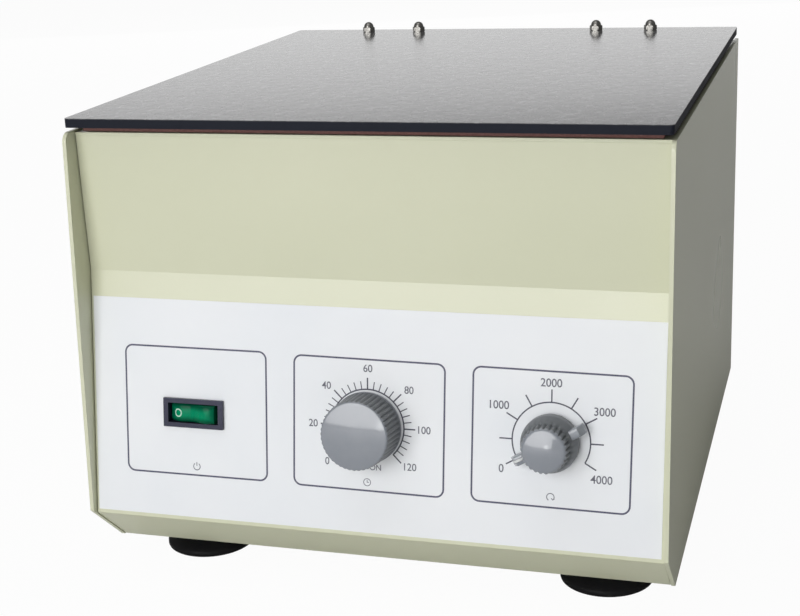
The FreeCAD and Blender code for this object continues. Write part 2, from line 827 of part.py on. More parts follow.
def lid():
    """Flat lid plate with bolt holes, and the gasket strip stuck to its underside."""
    depth = "case_depth + lid_back_over - lid_front_in"
    plate = box("lid_blank", ("case_width - 2 * lid_side_in", depth, "lid_thickness"),
                ("0", f"{FRONT} + lid_front_in + ({depth}) / 2", LID))
    doc.recompute()
    upright = [
        (index, number("lid_corner"), number("lid_corner"))
        for index, edge in enumerate(plate.Shape.Edges, start=1)
        if abs(edge.Vertexes[0].X - edge.Vertexes[1].X) < 0.01
        and abs(edge.Vertexes[0].Y - edge.Vertexes[1].Y) < 0.01
    ]
    corners = doc.addObject("Part::Fillet", "lid_corners")
    corners.Base = plate
    corners.Edges = upright
    holes = [
        rod(f"lid_hole_{index}", "lid_bolt_radius + screw_fit", "3 * lid_thickness",
            (x, LID_NUT_Y, f"{LID} - lid_thickness"))
        for index, x in enumerate(LID_NUT_XS)
    ]
    keep(cut("lid_plate", corners, holes), "lid_plate")
    across = "case_width - 2 * gasket_side_in"
    along = f"{GASKET_BACK} - gasket_front_in"
    middle = f"{FRONT} + (gasket_front_in + {GASKET_BACK}) / 2"
    outer = box("gasket_outer", (across, along, "gasket_height"), ("0", middle, f"{LID} - gasket_height"))
    inner = box("gasket_inner", (f"{across} - 2 * gasket_strip", f"{along} - 2 * gasket_strip",
                                 "3 * gasket_height"),
                ("0", middle, f"{LID} - 2 * gasket_height"))
    keep(cut("lid_gasket", outer, [inner]), "lid_gasket")


def hinges():
    """Two butt hinges: a lid leaf with two outer knuckles, a case leaf with one, and a pin."""
    notch = "knuckle_radius + knuckle_gap"
    outer_middle = "(knuckle_length / 2 + hinge_width / 2) / 2 + knuckle_gap / 2"
    outer_length = "hinge_width / 2 - knuckle_length / 2 - knuckle_gap"
    lid_leaves, case_leaves, pins = [], [], []
    for side in SIDES:
        tag = "left" if side == "-1" else "right"
        spot = (f"{side} * {HINGE_X}", HINGE_Y, HINGE_Z)
        level = "knuckle_radius - hinge_sheet"
        plate_long = f"lid_leaf_reach - ({notch})"
        solids = [box(f"lid_leaf_plate_{tag}", ("hinge_width", plate_long, "hinge_sheet"),
                      ("0", f"-(lid_leaf_reach + {notch}) / 2", level))]
        for sign in SIDES:
            end = f"{tag}_{ENDS[sign]}"
            middle = f"{sign} * ({outer_middle})"
            solids.append(box(f"lid_leaf_tongue_{end}", (outer_length, notch, "hinge_sheet"),
                              (middle, f"-({notch}) / 2", level)))
            solids.append(rod(f"lid_knuckle_{end}", "knuckle_radius", outer_length,
                              (f"{middle} - ({outer_length}) / 2", "0", "0"), ALONG_X))
        bores = [rod(f"lid_leaf_bore_{tag}", "pin_radius + pin_fit", "2 * hinge_width",
                     ("-hinge_width", "0", "0"), ALONG_X)]
        for sign in SIDES:
            bores.append(rod(f"lid_leaf_hole_{tag}_{ENDS[sign]}",
                             "lid_bolt_radius + thread_fit", "8 * hinge_sheet",
                             (f"{sign} * lid_nut_spread", f"{LID_NUT_Y} - {HINGE_Y}", "-hinge_sheet")))
        lid_leaves.append(cut(f"lid_leaf_{tag}", fuse(f"lid_leaf_solid_{tag}", solids), bores, spot))

        face = "-(knuckle_radius + hinge_clear) + hinge_sheet / 2"
        drop = f"case_leaf_drop - ({notch})"
        solids = [
            box(f"case_leaf_plate_{tag}", ("hinge_width", "hinge_sheet", drop),
                ("0", face, "-case_leaf_drop")),
            box(f"case_leaf_tongue_{tag}", ("knuckle_length", "hinge_sheet + hinge_clear", notch),
                ("0", f"{face} + hinge_clear / 2", f"-({notch})")),
            rod(f"case_knuckle_{tag}", "knuckle_radius", "knuckle_length",
                ("-knuckle_length / 2", "0", "0"), ALONG_X),
        ]
        bores = [rod(f"case_leaf_bore_{tag}", "pin_radius + pin_fit", "2 * hinge_width",
                     ("-hinge_width", "0", "0"), ALONG_X)]
        for sign in SIDES:
            bores.append(rod(f"case_leaf_hole_{tag}_{ENDS[sign]}",
                             "screw_radius + thread_fit", "8 * hinge_sheet",
                             (f"{sign} * hinge_screw_spread", "4 * hinge_sheet", "-hinge_screw_drop"),
                             ALONG_Y))
        case_leaves.append(cut(f"case_leaf_{tag}", fuse(f"case_leaf_solid_{tag}", solids), bores, spot))
        pins.append(rod(f"hinge_pin_{tag}", "pin_radius", "hinge_width",
                        (f"{side} * {HINGE_X} - hinge_width / 2", HINGE_Y, HINGE_Z), ALONG_X))
    keep(group("hinge_lid_leaves", lid_leaves), "hinge_lid_leaves")
    keep(group("hinge_case_leaves", case_leaves), "hinge_case_leaves")
    keep(group("hinge_pins", pins), "hinge_pins")

    bolts, nuts = [], []
    shank = "hinge_sheet + lid_thickness + lid_nut_bore - 2 * thread_fit"
    for index, x in enumerate(LID_NUT_XS):
        under = (x, LID_NUT_Y, f"{LID} - hinge_sheet")
        bolts.append(screw(f"lid_bolt_{index}", "lid_bolt_head", "lid_bolt_head_height",
                           "lid_bolt_radius", shank, under, UPSIDE_DOWN))
        parts = [
            hexagon(f"dome_nut_hex_{index}", "lid_nut_flats", "lid_nut_hex"),
            rod(f"dome_nut_wall_{index}", "lid_nut_dome", "lid_nut_height - lid_nut_dome"),
            place(bind(doc.addObject("Part::Sphere", f"dome_nut_top_{index}"),
                       Radius="lid_nut_dome"), ("0", "0", "lid_nut_height - lid_nut_dome")),
        ]
        bore = rod(f"dome_nut_bore_{index}", "lid_bolt_radius + thread_fit", "2 * lid_nut_bore",
                   ("0", "0", "-lid_nut_bore"))
        below = rod(f"dome_nut_floor_{index}", "2 * lid_nut_flats", "lid_nut_flats",
                    ("0", "0", "-lid_nut_flats"))
        nuts.append(cut(f"dome_nut_{index}", fuse(f"dome_nut_solid_{index}", parts), [bore, below],
                        (x, LID_NUT_Y, f"{LID} + lid_thickness")))
    keep(group("lid_bolts", bolts), "lid_bolts")
    keep(group("lid_dome_nuts", nuts), "lid_dome_nuts")


def rotor():
    """Fixed-angle head with tilted sockets and flat seats, a sleeve in each, and its hub nut."""
    dish = "(({r}) - socket_circle) * tan(tilt)"
    rim_up = dish.format(r="rim_radius")
    profile = [
        ("shaft_radius + shaft_fit", "-hub_top_drop"),
        ("hub_radius", "-hub_top_drop"),
        ("hub_radius", dish.format(r="hub_radius")),
        ("rim_radius", rim_up),
        ("rim_radius + plate_thickness * sin(tilt)", f"{rim_up} - plate_thickness * cos(tilt)"),
        ("hub_low_radius", f"{dish.format(r='hub_low_radius')} - plate_thickness / cos(tilt)"),
        ("hub_low_radius", "-hub_drop"),
        ("shaft_radius + shaft_fit", "-hub_drop"),
    ]
    head = turned("rotor_turned", profile, ("0", CHAMBER, ROTOR))
    sockets = []
    outer = "sleeve_bore + sleeve_wall"
    count = SIZES["socket_count"]
    sleeve_profile = [
        ("sleeve_bore", "sleeve_flange_thickness"),
        (f"{outer} + sleeve_flange", "sleeve_flange_thickness"),
        (f"{outer} + sleeve_flange", "0"),
        (outer, "0"),
        (outer, f"-{SLEEVE}"),
        ("0", f"-{SLEEVE}"),
        ("0", f"sleeve_wall - {SLEEVE}"),
        ("sleeve_bore", f"sleeve_wall - {SLEEVE}"),
    ]
    for index in range(count):
        angle = f"{index} * 360 / socket_count"
        spot = (f"socket_circle * cos({angle})", f"{CHAMBER} + socket_circle * sin({angle})", ROTOR)
        turns = [((0, 0, 1), angle), ((0, 1, 0), "-tilt")]
        low = (f"{spot[0]} + 2 * plate_thickness * sin(tilt) * cos({angle})",
               f"{spot[1]} + 2 * plate_thickness * sin(tilt) * sin({angle})",
               f"{spot[2]} - 2 * plate_thickness * cos(tilt)")
        sockets.append(rod(f"rotor_socket_{index}", f"{outer} + sleeve_fit", "4 * plate_thickness",
                           low, turns))
        sockets.append(rod(f"rotor_seat_{index}", f"{outer} + sleeve_flange + sleeve_fit",
                           "2 * plate_thickness", spot, turns))
        sleeve = turned(f"tube_sleeve_{index + 1}", sleeve_profile, spot, turns)
        rounded(sleeve, circle_at(outer, f"-{SLEEVE}"), "sleeve_round", "end")
        rounded(sleeve, circle_at("sleeve_bore", f"sleeve_wall - {SLEEVE}"),
                "sleeve_round - sleeve_wall", "well")
        keep(sleeve, f"tube_sleeve_{index + 1}")
    keep(cut("rotor_head", head, sockets), "rotor_head")
    keep(nut("rotor_nut", "rotor_nut_flats", "rotor_nut_height", "shaft_radius + thread_fit",
             ("0", CHAMBER, f"{ROTOR} - hub_top_drop")), "rotor_nut")


def motor():
    """Brushed direct-drive motor on a plate with three rubber dampers, built up from the floor."""
    x, y = "0", CHAMBER
    plate_z = f"{FLOOR} + damper_height"
    plate = rod("motor_plate_round", "motor_plate_radius", "motor_plate_sheet", (x, y, plate_z))
    tools, dampers, bolts = [], [], []
    for index, (px, py) in enumerate(DAMPER_SPOTS):
        tools.append(rod(f"motor_plate_hole_{index}", "damper_bolt + thread_fit",
                         "4 * motor_plate_sheet", (px, py, f"{plate_z} - motor_plate_sheet")))
        dampers.append(ring(f"damper_{index}", "damper_radius", "damper_bolt + screw_fit",
                            "damper_height", (px, py, FLOOR)))
        bolts.append(screw(f"damper_bolt_{index}", "2 * damper_bolt", "damper_bolt", "damper_bolt",
                           "motor_plate_sheet + damper_height + sheet",
                           (px, py, f"{plate_z} + motor_plate_sheet")))
    screw_spots = [
        (f"motor_screw_circle * cos({angle})", f"{CHAMBER} + motor_screw_circle * sin({angle})")
        for angle in MOTOR_SCREW_ANGLES
    ]
    can_holes, screws = [], []
    for index, (px, py) in enumerate(screw_spots):
        hole = ("screw_radius + thread_fit", "12 * can_floor", (px, py, f"{plate_z} - can_floor"))
        tools.append(rod(f"motor_plate_screw_hole_{index}", *hole))
        can_holes.append(rod(f"can_screw_hole_{index}", *hole))
        screws.append(screw(f"motor_screw_{index}", "screw_head", "screw_head_height", "screw_radius",
                            "motor_plate_sheet + can_floor", (px, py, plate_z), UPSIDE_DOWN))
    keep(cut("motor_plate", plate, tools), "motor_plate")
    keep(group("rubber_dampers", dampers), "rubber_dampers")
    keep(group("damper_bolts", bolts), "damper_bolts")
    keep(group("motor_screws", screws), "motor_screws")

    inner = "can_radius - can_wall"
    seat = "bearing_radius + shaft_fit"
    boss = "bearing_radius + bearing_wall"
    shelf = "bearing_shelf"
    can_profile = [
        ("0", "0"),
        ("can_radius", "0"),
        ("can_radius", "can_height"),
        (inner, "can_height"),
        (inner, "can_floor"),
        (boss, "can_floor"),
        (boss, f"{shelf} + bearing_width"),
        (seat, f"{shelf} + bearing_width"),
        (seat, shelf),
        ("0", shelf),
    ]
    can = turned("can_turned", can_profile, (x, y, MOTOR))
    keep(cut("motor_can", can, can_holes), "motor_can")
    cap_profile = [
        ("cap_hole", "0"),
        ("can_radius", "0"),
        ("can_radius", "cap_thickness"),
        (boss, "cap_thickness"),
        (boss, f"{shelf} + bearing_width"),
        (seat, f"{shelf} + bearing_width"),
        (seat, shelf),
        ("cap_hole", shelf),
    ]
    cap_z = f"{MOTOR} + can_height"
    keep(turned("motor_cap", cap_profile, (x, y, cap_z)), "motor_cap")
    bearings = [
        ring(f"bearing_{tag}", "bearing_radius", "shaft_radius + shaft_fit", "bearing_width", (x, y, z))
        for tag, z in (("low", f"{MOTOR} + {shelf}"), ("high", f"{cap_z} + {shelf}"))
    ]
    keep(group("shaft_bearings", bearings), "shaft_bearings")

    foot = f"{MOTOR} + shaft_end"
    keep(rod("motor_shaft", "shaft_radius", f"{ROTOR} - ({foot})", (x, y, foot)), "motor_shaft")
    hold = "shaft_radius + thread_fit / 2"
    core_z = f"{MOTOR} + core_start"
    keep(ring("armature_core", "core_radius", hold, "core_height", (x, y, core_z)), "armature_core")
    windings = [
        ring(f"winding_{tag}", "winding_radius", hold, "winding_height", (x, y, z))
        for tag, z in (("low", f"{core_z} - winding_height"), ("high", f"{core_z} + core_height"))
    ]
    keep(group("armature_windings", windings), "armature_windings")
    commutator_z = f"{core_z} + core_height + winding_height"
    keep(ring("commutator", "commutator_radius", hold, "commutator_height", (x, y, commutator_z)),
         "commutator")

    magnets = []
    for index in range(2):
        turn = [((0, 0, 1), f"{index} * 180 + 90 - magnet_angle / 2")]
        outer = bind(rod(f"magnet_round_{index}", f"{inner} - panel_fit / 2", "magnet_height"),
                     Angle="magnet_angle")
        core = rod(f"magnet_hole_{index}", "core_radius + magnet_gap", "magnet_height")
        magnets.append(cut(f"magnet_{index}", outer, [core], (x, y, f"{MOTOR} + magnet_start"), turn))
    keep(group("field_magnets", magnets), "field_magnets")

    holders, brushes = [], []
    holder_z = f"{cap_z} - holder_height"
    brush_z = f"{cap_z} - (holder_height + brush_height) / 2"
    for index in range(2):
        turn = [((0, 0, 1), f"{index} * 180")]
        block = box(f"holder_block_{index}", ("holder_length", "holder_width", "holder_height"),
                    ("holder_in + holder_length / 2", "0", "0"))
        slot_size = ("holder_length", "brush_width + 2 * brush_gap", "brush_height + 2 * brush_gap")
        slot = box(f"holder_slot_{index}", slot_size,
                   ("holder_in + holder_length / 2 - holder_end", "0",
                    "(holder_height - brush_height) / 2 - brush_gap"))
        holders.append(cut(f"brush_holder_{index}", block, [slot], (x, y, holder_z), turn))
        brush_x = "(commutator_radius + brush_gap + brush_length / 2)"
        brushes.append(box(f"brush_{index}", ("brush_length", "brush_width", "brush_height"),
                           (f"{brush_x} * cos({index} * 180)", y, brush_z)))
    keep(group("brush_holders", holders), "brush_holders")
    keep(group("carbon_brushes", brushes), "carbon_brushes")


def knob(control, flute_length, profile, rounds, flute_circle, flute_low, flutes, extras=()):
    """Turned knob with fluted sides on its shaft, standing just clear of the label."""
    node = f"{control}_knob"
    blank = turned(f"{node}_blank", profile)
    for radius, height, size, tag in rounds:
        rounded(blank, circle_at(radius, height), size, tag)
    tools = [
        rod(f"{node}_flute_{index}", "flute_radius", flute_length,
            (f"{flute_circle} * cos({index} * 360 / {flutes})",
             f"{flute_circle} * sin({index} * 360 / {flutes})", flute_low))
        for index in range(SIZES[flutes])
    ]
    fluted = cut(f"{node}_fluted", blank, tools)
    spot = on_panel(CONTROL_X[control], f"{control}_up", "label_sheet + knob_lift")
    if not extras:
        return keep(group(node, [fluted], spot, ON_PANEL), node)
    return keep(fuse(node, [fluted, *extras], spot, ON_PANEL), node)


def timer():
    """Clockwork timer behind the panel, its nut on the front, and its large fluted knob."""
    spot = on_panel(CONTROL_X["timer"], "timer_up", "-sheet")
    case = box("timer_case", ("timer_body_side", "timer_body_side", "timer_body_deep"),
               ("0", "0", "-timer_body_deep"))
    bush = rod("timer_bush", "bush_radius", "sheet + bush_out")
    bore = rod("timer_bore", "control_shaft + pin_fit", "2 * timer_body_deep",
               ("0", "0", "-timer_bore_in"))
    keep(cut("timer_body", fuse("timer_solid", [case, bush]), [bore], spot, ON_PANEL), "timer_body")
    control_shaft("timer", "timer_shaft_in")
    top = "timer_knob_height - knob_lift"
    bore_top = "control_shaft_out - knob_lift + panel_fit"
    profile = [
        ("knob_recess", "0"),
        ("timer_knob_skirt", "0"),
        ("timer_knob_skirt", "timer_knob_skirt_thick"),
        ("timer_knob_radius", "timer_knob_skirt_thick"),
        ("timer_knob_face", top),
        ("0", f"{top} + timer_knob_dome"),
        ("0", bore_top),
        ("control_shaft + pin_fit / 2", bore_top),
        ("control_shaft + pin_fit / 2", "knob_recess_deep"),
        ("knob_recess", "knob_recess_deep"),
    ]
    knob("timer", "timer_knob_height", profile,
         [("timer_knob_face", top, "timer_knob_round", "brow")],
         "timer_flute_circle", "timer_flute_low", "timer_flute_count")


def control_shaft(control, inside):
    """Plain shaft that turns in a control's bush and carries its knob."""
    length = f"sheet + {inside} + control_shaft_out + label_sheet"
    keep(rod(f"{control}_shaft", "control_shaft", length,
             on_panel(CONTROL_X[control], f"{control}_up", f"-sheet - {inside}"), ON_PANEL),
         f"{control}_shaft")


def control_nuts():
    """The two nuts that clamp the timer's and the potentiometer's bushes to the panel."""
    nuts = [
        nut(f"{control}_nut", "nut_flats", "nut_height", "bush_radius + thread_fit",
            on_panel(CONTROL_X[control], f"{control}_up", "label_sheet"), ON_PANEL)
        for control in CONTROL_X
    ]
    keep(group("control_nuts", nuts), "control_nuts")


def speed_control():
    """Potentiometer behind the panel, and its small fluted knob with a pointer bar."""
    spot = on_panel(CONTROL_X["speed"], "speed_up", "-sheet")
    can = rod("pot_can", "pot_radius", "pot_deep", ("0", "0", "-pot_deep"))
    bush = rod("pot_bush", "bush_radius", "sheet + bush_out")
    tags = box("pot_tags", ("pot_tags_wide", "pot_radius", "pot_tags_thick"),
               ("0", "-pot_radius", "-pot_deep / 2"))
    bore = rod("pot_bore", "control_shaft + pin_fit", "2 * pot_deep", ("0", "0", "-pot_bore_in"))
    keep(cut("speed_pot", fuse("pot_solid", [can, bush, tags]), [bore], spot, ON_PANEL), "speed_pot")
    control_shaft("speed", "pot_shaft_in")
    bore_top = "control_shaft_out - knob_lift + panel_fit"
    top = "speed_knob_height - knob_lift"
    profile = [
        ("knob_recess", "0"),
        ("speed_skirt_radius", "0"),
        ("speed_skirt_radius", "speed_skirt_height"),
        ("speed_neck_radius", "speed_cap_low"),
        ("speed_cap_radius", "speed_cap_low"),
        ("speed_cap_face", top),
        ("0", f"{top} + speed_knob_dome"),
        ("0", bore_top),
        ("control_shaft + pin_fit / 2", bore_top),
        ("control_shaft + pin_fit / 2", "knob_recess_deep"),
        ("knob_recess", "knob_recess_deep"),
    ]
    bar_long = "(pointer_length / 2 - speed_neck_radius)"
    bars = []
    for tag, way in (("tip", "0"), ("tail", "180")):
        blank = box(f"pointer_{tag}_blank", ("pointer_width", bar_long, "pointer_thick"),
                    ("0", f"pointer_length / 2 - {bar_long} / 2", "pointer_height - pointer_thick"))
        slope = box(f"pointer_{tag}_slope", ("2 * pointer_width", "4 * pointer_run", "pointer_thick"),
                    ("0", "(pointer_length - pointer_run) / 2",
                     "pointer_height - pointer_run * tan(pointer_slope) / 2"),
                    [((1, 0, 0), "-pointer_slope")])
        bars.append(cut(f"pointer_{tag}", blank, [slope], ORIGIN, [((0, 0, 1), f"pointer_angle + {way}")]))
    knob("speed", "speed_knob_height", profile,
         [("speed_cap_face", top, "speed_knob_round", "brow")],
         "speed_flute_circle", "speed_cap_low", "speed_flute_count", bars)


def rocker_switch():
    """Snap-in switch: black frame and body, and a rocker on two stub pins."""
    spot = on_panel(SWITCH_X, "switch_up")
    frame = box("switch_frame", ("switch_frame_long", "switch_frame_high", "switch_frame_proud"),
                ("0", "0", "label_sheet"))
    block = box("switch_block", ("switch_body_long", "switch_body_high",
                                 "switch_body_deep + label_sheet + switch_frame_proud / 2"),
                ("0", "0", "-switch_body_deep"))
    cavity = box("switch_cavity", ("switch_cavity_long", "switch_cavity_high", "4 * switch_cavity_deep"),
                 ("0", "0", "-switch_cavity_deep"))
    pin_hole = rod("switch_pin_hole", "rocker_pin + pin_fit", "2 * switch_body_high",
                   ("0", "switch_body_high", "-rocker_pivot_in"), ALONG_Y)
    keep(cut("switch_housing", fuse("switch_solid", [frame, block]), [cavity, pin_hole], spot, ON_PANEL),
         "switch_housing")
    profile = [
        ("-rocker_half", "rocker_end"),
        ("-rocker_knee", "rocker_knee_out"),
        ("0", "rocker_middle"),
        ("rocker_knee", "rocker_knee_out"),
        ("rocker_half", "rocker_end"),
        ("rocker_side", "-rocker_side_in"),
        ("rocker_belly_half", "-rocker_belly"),
        ("-rocker_belly_half", "-rocker_belly"),
        ("-rocker_side", "-rocker_side_in"),
    ]
    lever = padded("rocker_lever", "XZ_Plane", profile, "rocker_high", ORIGIN)
    reach = "switch_body_high - 2 * screw_fit"
    pivot = rod("rocker_pivot", "rocker_pin", reach, ("0", f"({reach}) / 2", "0"), ALONG_Y)
    keep(fuse("switch_rocker", [lever, pivot],
              on_panel(SWITCH_X, "switch_up", "-rocker_pivot_in"),
              ON_PANEL + [((0, 1, 0), "-rocker_tilt")]), "switch_rocker")
    blades = [
        box(f"switch_blade_{index}", ("blade_thick", "blade_wide", "blade_long"),
            on_panel(f"{SWITCH_X} + {index - 1} * blade_pitch", "switch_up",
                     "-switch_body_deep - blade_long"), ON_PANEL)
        for index in range(3)
    ]
    keep(group("switch_terminals", blades), "switch_terminals")


def control_board():
    """Motor speed board on four standoffs, with its capacitors, relay, heat sink and terminals."""
    y = f"{FRONT} + board_in"
    level = f"{FLOOR} + board_lift"
    posts = []
    holes = []
    for index, (px, py) in enumerate(STANDOFF_SPOTS):
        parts = [
            rod(f"standoff_post_{index}", "standoff_radius", "board_lift", (px, py, FLOOR)),
            rod(f"standoff_stud_{index}", "standoff_radius / 2", "board_lift + sheet + board_sheet",
                (px, py, UNDERSIDE)),
        ]
        posts.append(fuse(f"standoff_{index}", parts))
        holes.append(rod(f"board_hole_{index}", "standoff_radius / 2 + pin_fit", "4 * board_sheet",
                         (px, py, f"{level} - board_sheet")))
    board = box("board_blank", ("board_length", "board_width", "board_sheet"), (BOARD_X, y, level))
    keep(cut("control_board", board, holes), "control_board")
    keep(group("board_standoffs", posts), "board_standoffs")
    top = f"{level} + board_sheet"
    parts = []
    for part in ("capacitor", "small_capacitor"):
        parts.append(rod(f"board_{part}", f"{part}_radius", f"{part}_height",
                         (f"{BOARD_X} + {part}_x", f"{y} + {part}_y", top)))
    for part in ("relay", "terminals", "chip"):
        parts.append(box(f"board_{part}", (f"{part}_long", f"{part}_wide", f"{part}_high"),
                         (f"{BOARD_X} + {part}_x", f"{y} + {part}_y", top)))
    keep(group("board_parts", parts), "board_parts")
    fins = [box("sink_back", ("sink_thick", "sink_wide", "sink_high"),
                (f"{BOARD_X} + sink_x", f"{y} + sink_y", top))]
    for index in range(SIZES["fin_count"]):
        fins.append(box(f"sink_fin_{index}", ("fin_reach", "fin_thick", "sink_high"),
                        (f"{BOARD_X} + sink_x + (fin_reach + sink_thick) / 2 - overlap / 2",
                         f"{y} + sink_y + ({index} - (fin_count - 1) / 2) * fin_pitch", top)))
    keep(fuse("heat_sink", fins), "heat_sink")


def mains_inlet():
    """Three-pin appliance inlet and fuse holder in the back panel."""
    spot = on_back(INLET_X, "inlet_up")
    flange = box("inlet_flange", ("inlet_flange_long", "inlet_flange_high", "inlet_flange_thick"))
    block = box("inlet_block", ("inlet_body_long", "inlet_body_high", "inlet_body_deep + overlap"),
                ("0", "0", "-inlet_body_deep"))
    cavity_floor = "(inlet_flange_thick - inlet_cavity_deep)"
    cavity = box("inlet_cavity", ("inlet_cavity_long", "inlet_cavity_high", "2 * inlet_cavity_deep"),
                 ("0", "0", cavity_floor))
    tools = [cavity]
    for sign in SIDES:
        tools.append(rod(f"inlet_hole_{ENDS[sign]}", "screw_radius + screw_fit",
                         "4 * inlet_flange_thick", (f"{sign} * inlet_screw_spread", "0",
                                                    "-inlet_flange_thick")))
    keep(cut("power_inlet", fuse("inlet_solid", [flange, block]), tools, spot, BEHIND), "power_inlet")
    pins = [
        box(f"inlet_pin_{index}", ("inlet_pin_thick", "inlet_pin_wide", "inlet_pin_length"),
            (f"{way} * inlet_pin_spread", f"{rise} * inlet_pin_off", cavity_floor))
        for index, (way, rise) in enumerate(((-1, -1), (0, 1), (1, -1)))
    ]
    keep(group("inlet_pins", pins, spot, BEHIND), "inlet_pins")
    barrel = rod("fuse_barrel", "fuse_radius", "fuse_deep + overlap", ("0", "0", "-fuse_deep"))
    cap = rod("fuse_cap", "fuse_cap_radius", "fuse_cap_out")
    slot = box("fuse_slot", ("fuse_slot_wide", "fuse_slot_long", "2 * fuse_slot_deep"),
               ("0", "0", "fuse_cap_out - fuse_slot_deep"))
    keep(cut("fuse_holder", fuse("fuse_solid", [barrel, cap]), [slot],
             on_back(FUSE_X, "inlet_up"), BEHIND), "fuse_holder")


def feet():
    """Four rubber suction feet, each held by a screw up through the floor into a nut."""
    neck_z = "foot_height - foot_neck_height"
    profile = [
        ("damper_bolt + screw_fit", "foot_height"),
        ("foot_neck", "foot_height"),
        ("foot_neck", neck_z),
        ("foot_radius - foot_rim", "foot_shoulder"),
        ("foot_radius", "foot_edge"),
        ("foot_radius", "0"),
        ("foot_radius - foot_rim", "0"),
        ("foot_well_radius", "foot_hollow"),
        ("foot_well_radius", "foot_well_top"),
        ("damper_bolt + screw_fit", "foot_well_top"),
    ]
    cups, screws, nuts = [], [], []
    for index, (x, y) in enumerate(FOOT_SPOTS):
        cups.append(turned(f"foot_{index}", profile, (x, y, "0")))
        screws.append(screw(f"foot_screw_{index}", "foot_screw_head", "foot_screw_head_height",
                            "damper_bolt",
                            "foot_height - foot_well_top + sheet + nut_m5_height + foot_screw_end",
                            (x, y, "foot_well_top"), UPSIDE_DOWN))
        nuts.append(nut(f"foot_nut_{index}", "nut_m5_flats", "nut_m5_height", "damper_bolt + thread_fit",
                        (x, y, FLOOR)))
    keep(group("suction_feet", cups), "suction_feet")
    keep(group("foot_screws", screws), "foot_screws")
    keep(group("foot_nuts", nuts), "foot_nuts")


def build():
    side_panels()
    front_panel()
    base_pan()
    back_panel()
    panel_screws()
    top_deck()
    chamber()
    lid()
    hinges()
    rotor()
    motor()
    timer()
    speed_control()
    control_nuts()
    rocker_switch()
    control_board()
    mains_inlet()
    feet()


def write_parts():
    """Checks every object and sub-part, then writes one STEP file for each sub-part."""
    doc.recompute()
    for item in doc.Objects:
        if "Invalid" in item.State or "Error" in item.State:
            raise RuntimeError(f"{item.Name} did not build: {item.State}")
    for item in kept:
        if item.Shape.isNull() or not item.Shape.isValid() or not item.Shape.Solids:
            raise RuntimeError(f"{item.Label} has no valid solid")
    os.makedirs("parts", exist_ok=True)
    for item in kept:
        item.Shape.exportStep(f"parts/{item.Label}.step")
        volume = sum(solid.Volume for solid in item.Shape.Solids)
        print(f"{item.Label}: {len(item.Shape.Solids)} solids, {volume:.0f} mm3")


build()
write_parts()
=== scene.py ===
import json
import math

import bmesh
import bpy
from mathutils import Matrix, Vector


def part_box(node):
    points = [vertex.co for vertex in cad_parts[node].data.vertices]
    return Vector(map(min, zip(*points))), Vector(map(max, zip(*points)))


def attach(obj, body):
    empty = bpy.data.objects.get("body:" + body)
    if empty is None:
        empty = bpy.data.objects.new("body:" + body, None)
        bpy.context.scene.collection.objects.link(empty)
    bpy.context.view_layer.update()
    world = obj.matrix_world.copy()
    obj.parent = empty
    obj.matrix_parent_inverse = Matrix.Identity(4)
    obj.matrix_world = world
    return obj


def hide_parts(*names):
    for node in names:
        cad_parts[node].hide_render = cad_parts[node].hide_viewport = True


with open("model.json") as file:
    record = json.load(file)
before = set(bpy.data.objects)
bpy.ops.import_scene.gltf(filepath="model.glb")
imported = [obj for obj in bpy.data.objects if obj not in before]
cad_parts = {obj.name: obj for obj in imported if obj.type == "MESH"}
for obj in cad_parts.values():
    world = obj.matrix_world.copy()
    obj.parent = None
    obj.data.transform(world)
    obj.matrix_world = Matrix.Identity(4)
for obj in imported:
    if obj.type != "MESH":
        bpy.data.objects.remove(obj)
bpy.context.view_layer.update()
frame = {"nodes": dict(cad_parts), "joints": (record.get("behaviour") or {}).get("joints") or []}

# Looks of an electric bench centrifuge: enamelled case, smoked lid, printed control panel.
# Metres; +Z up, -Y towards the person at the controls, +X to the right seen from the front.

MM = 0.001
JOINTS = {joint["name"]: joint for joint in frame["joints"]}

# The sloping control panel: across it, up its slope and out from its face.
ACROSS = Vector((1, 0, 0))
OUT = -Vector(JOINTS["timer_turn"]["axis"])
UP = OUT.cross(ACROSS)
FRONT_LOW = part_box("front_panel")[0]
PANEL_FOOT = Vector((0, FRONT_LOW.y, FRONT_LOW.z))
LABEL_SHEET = 0.3 * MM


def panel_spot(across, up, out=0.0):
    return PANEL_FOOT + ACROSS * across + UP * up + OUT * out


def panel_matrix(across, up, out=0.0):
    """Axes of a piece that stands on the panel: X across, Y up the slope, Z out."""
    turn = Matrix((ACROSS, UP, OUT)).transposed().to_4x4()
    return Matrix.Translation(panel_spot(across, up, out)) @ turn


def on_face(joint_name):
    """How far across the panel and up it a control's axis is."""
    away = Vector(JOINTS[joint_name]["pos_m"]) - PANEL_FOOT
    return away.dot(ACROSS), away.dot(UP)


# Finishes


class Wire:
    """A socket of a finish's nodes that can stand in a sum."""

    def __init__(self, finish, socket):
        self.finish = finish
        self.socket = socket

    def __add__(self, other):
        return self.finish.math("ADD", self, other)

    def __radd__(self, other):
        return self.finish.math("ADD", other, self)

    def __rsub__(self, other):
        return self.finish.math("SUBTRACT", other, self)

    def __mul__(self, other):
        return self.finish.math("MULTIPLY", self, other)

    def __rmul__(self, other):
        return self.finish.math("MULTIPLY", other, self)


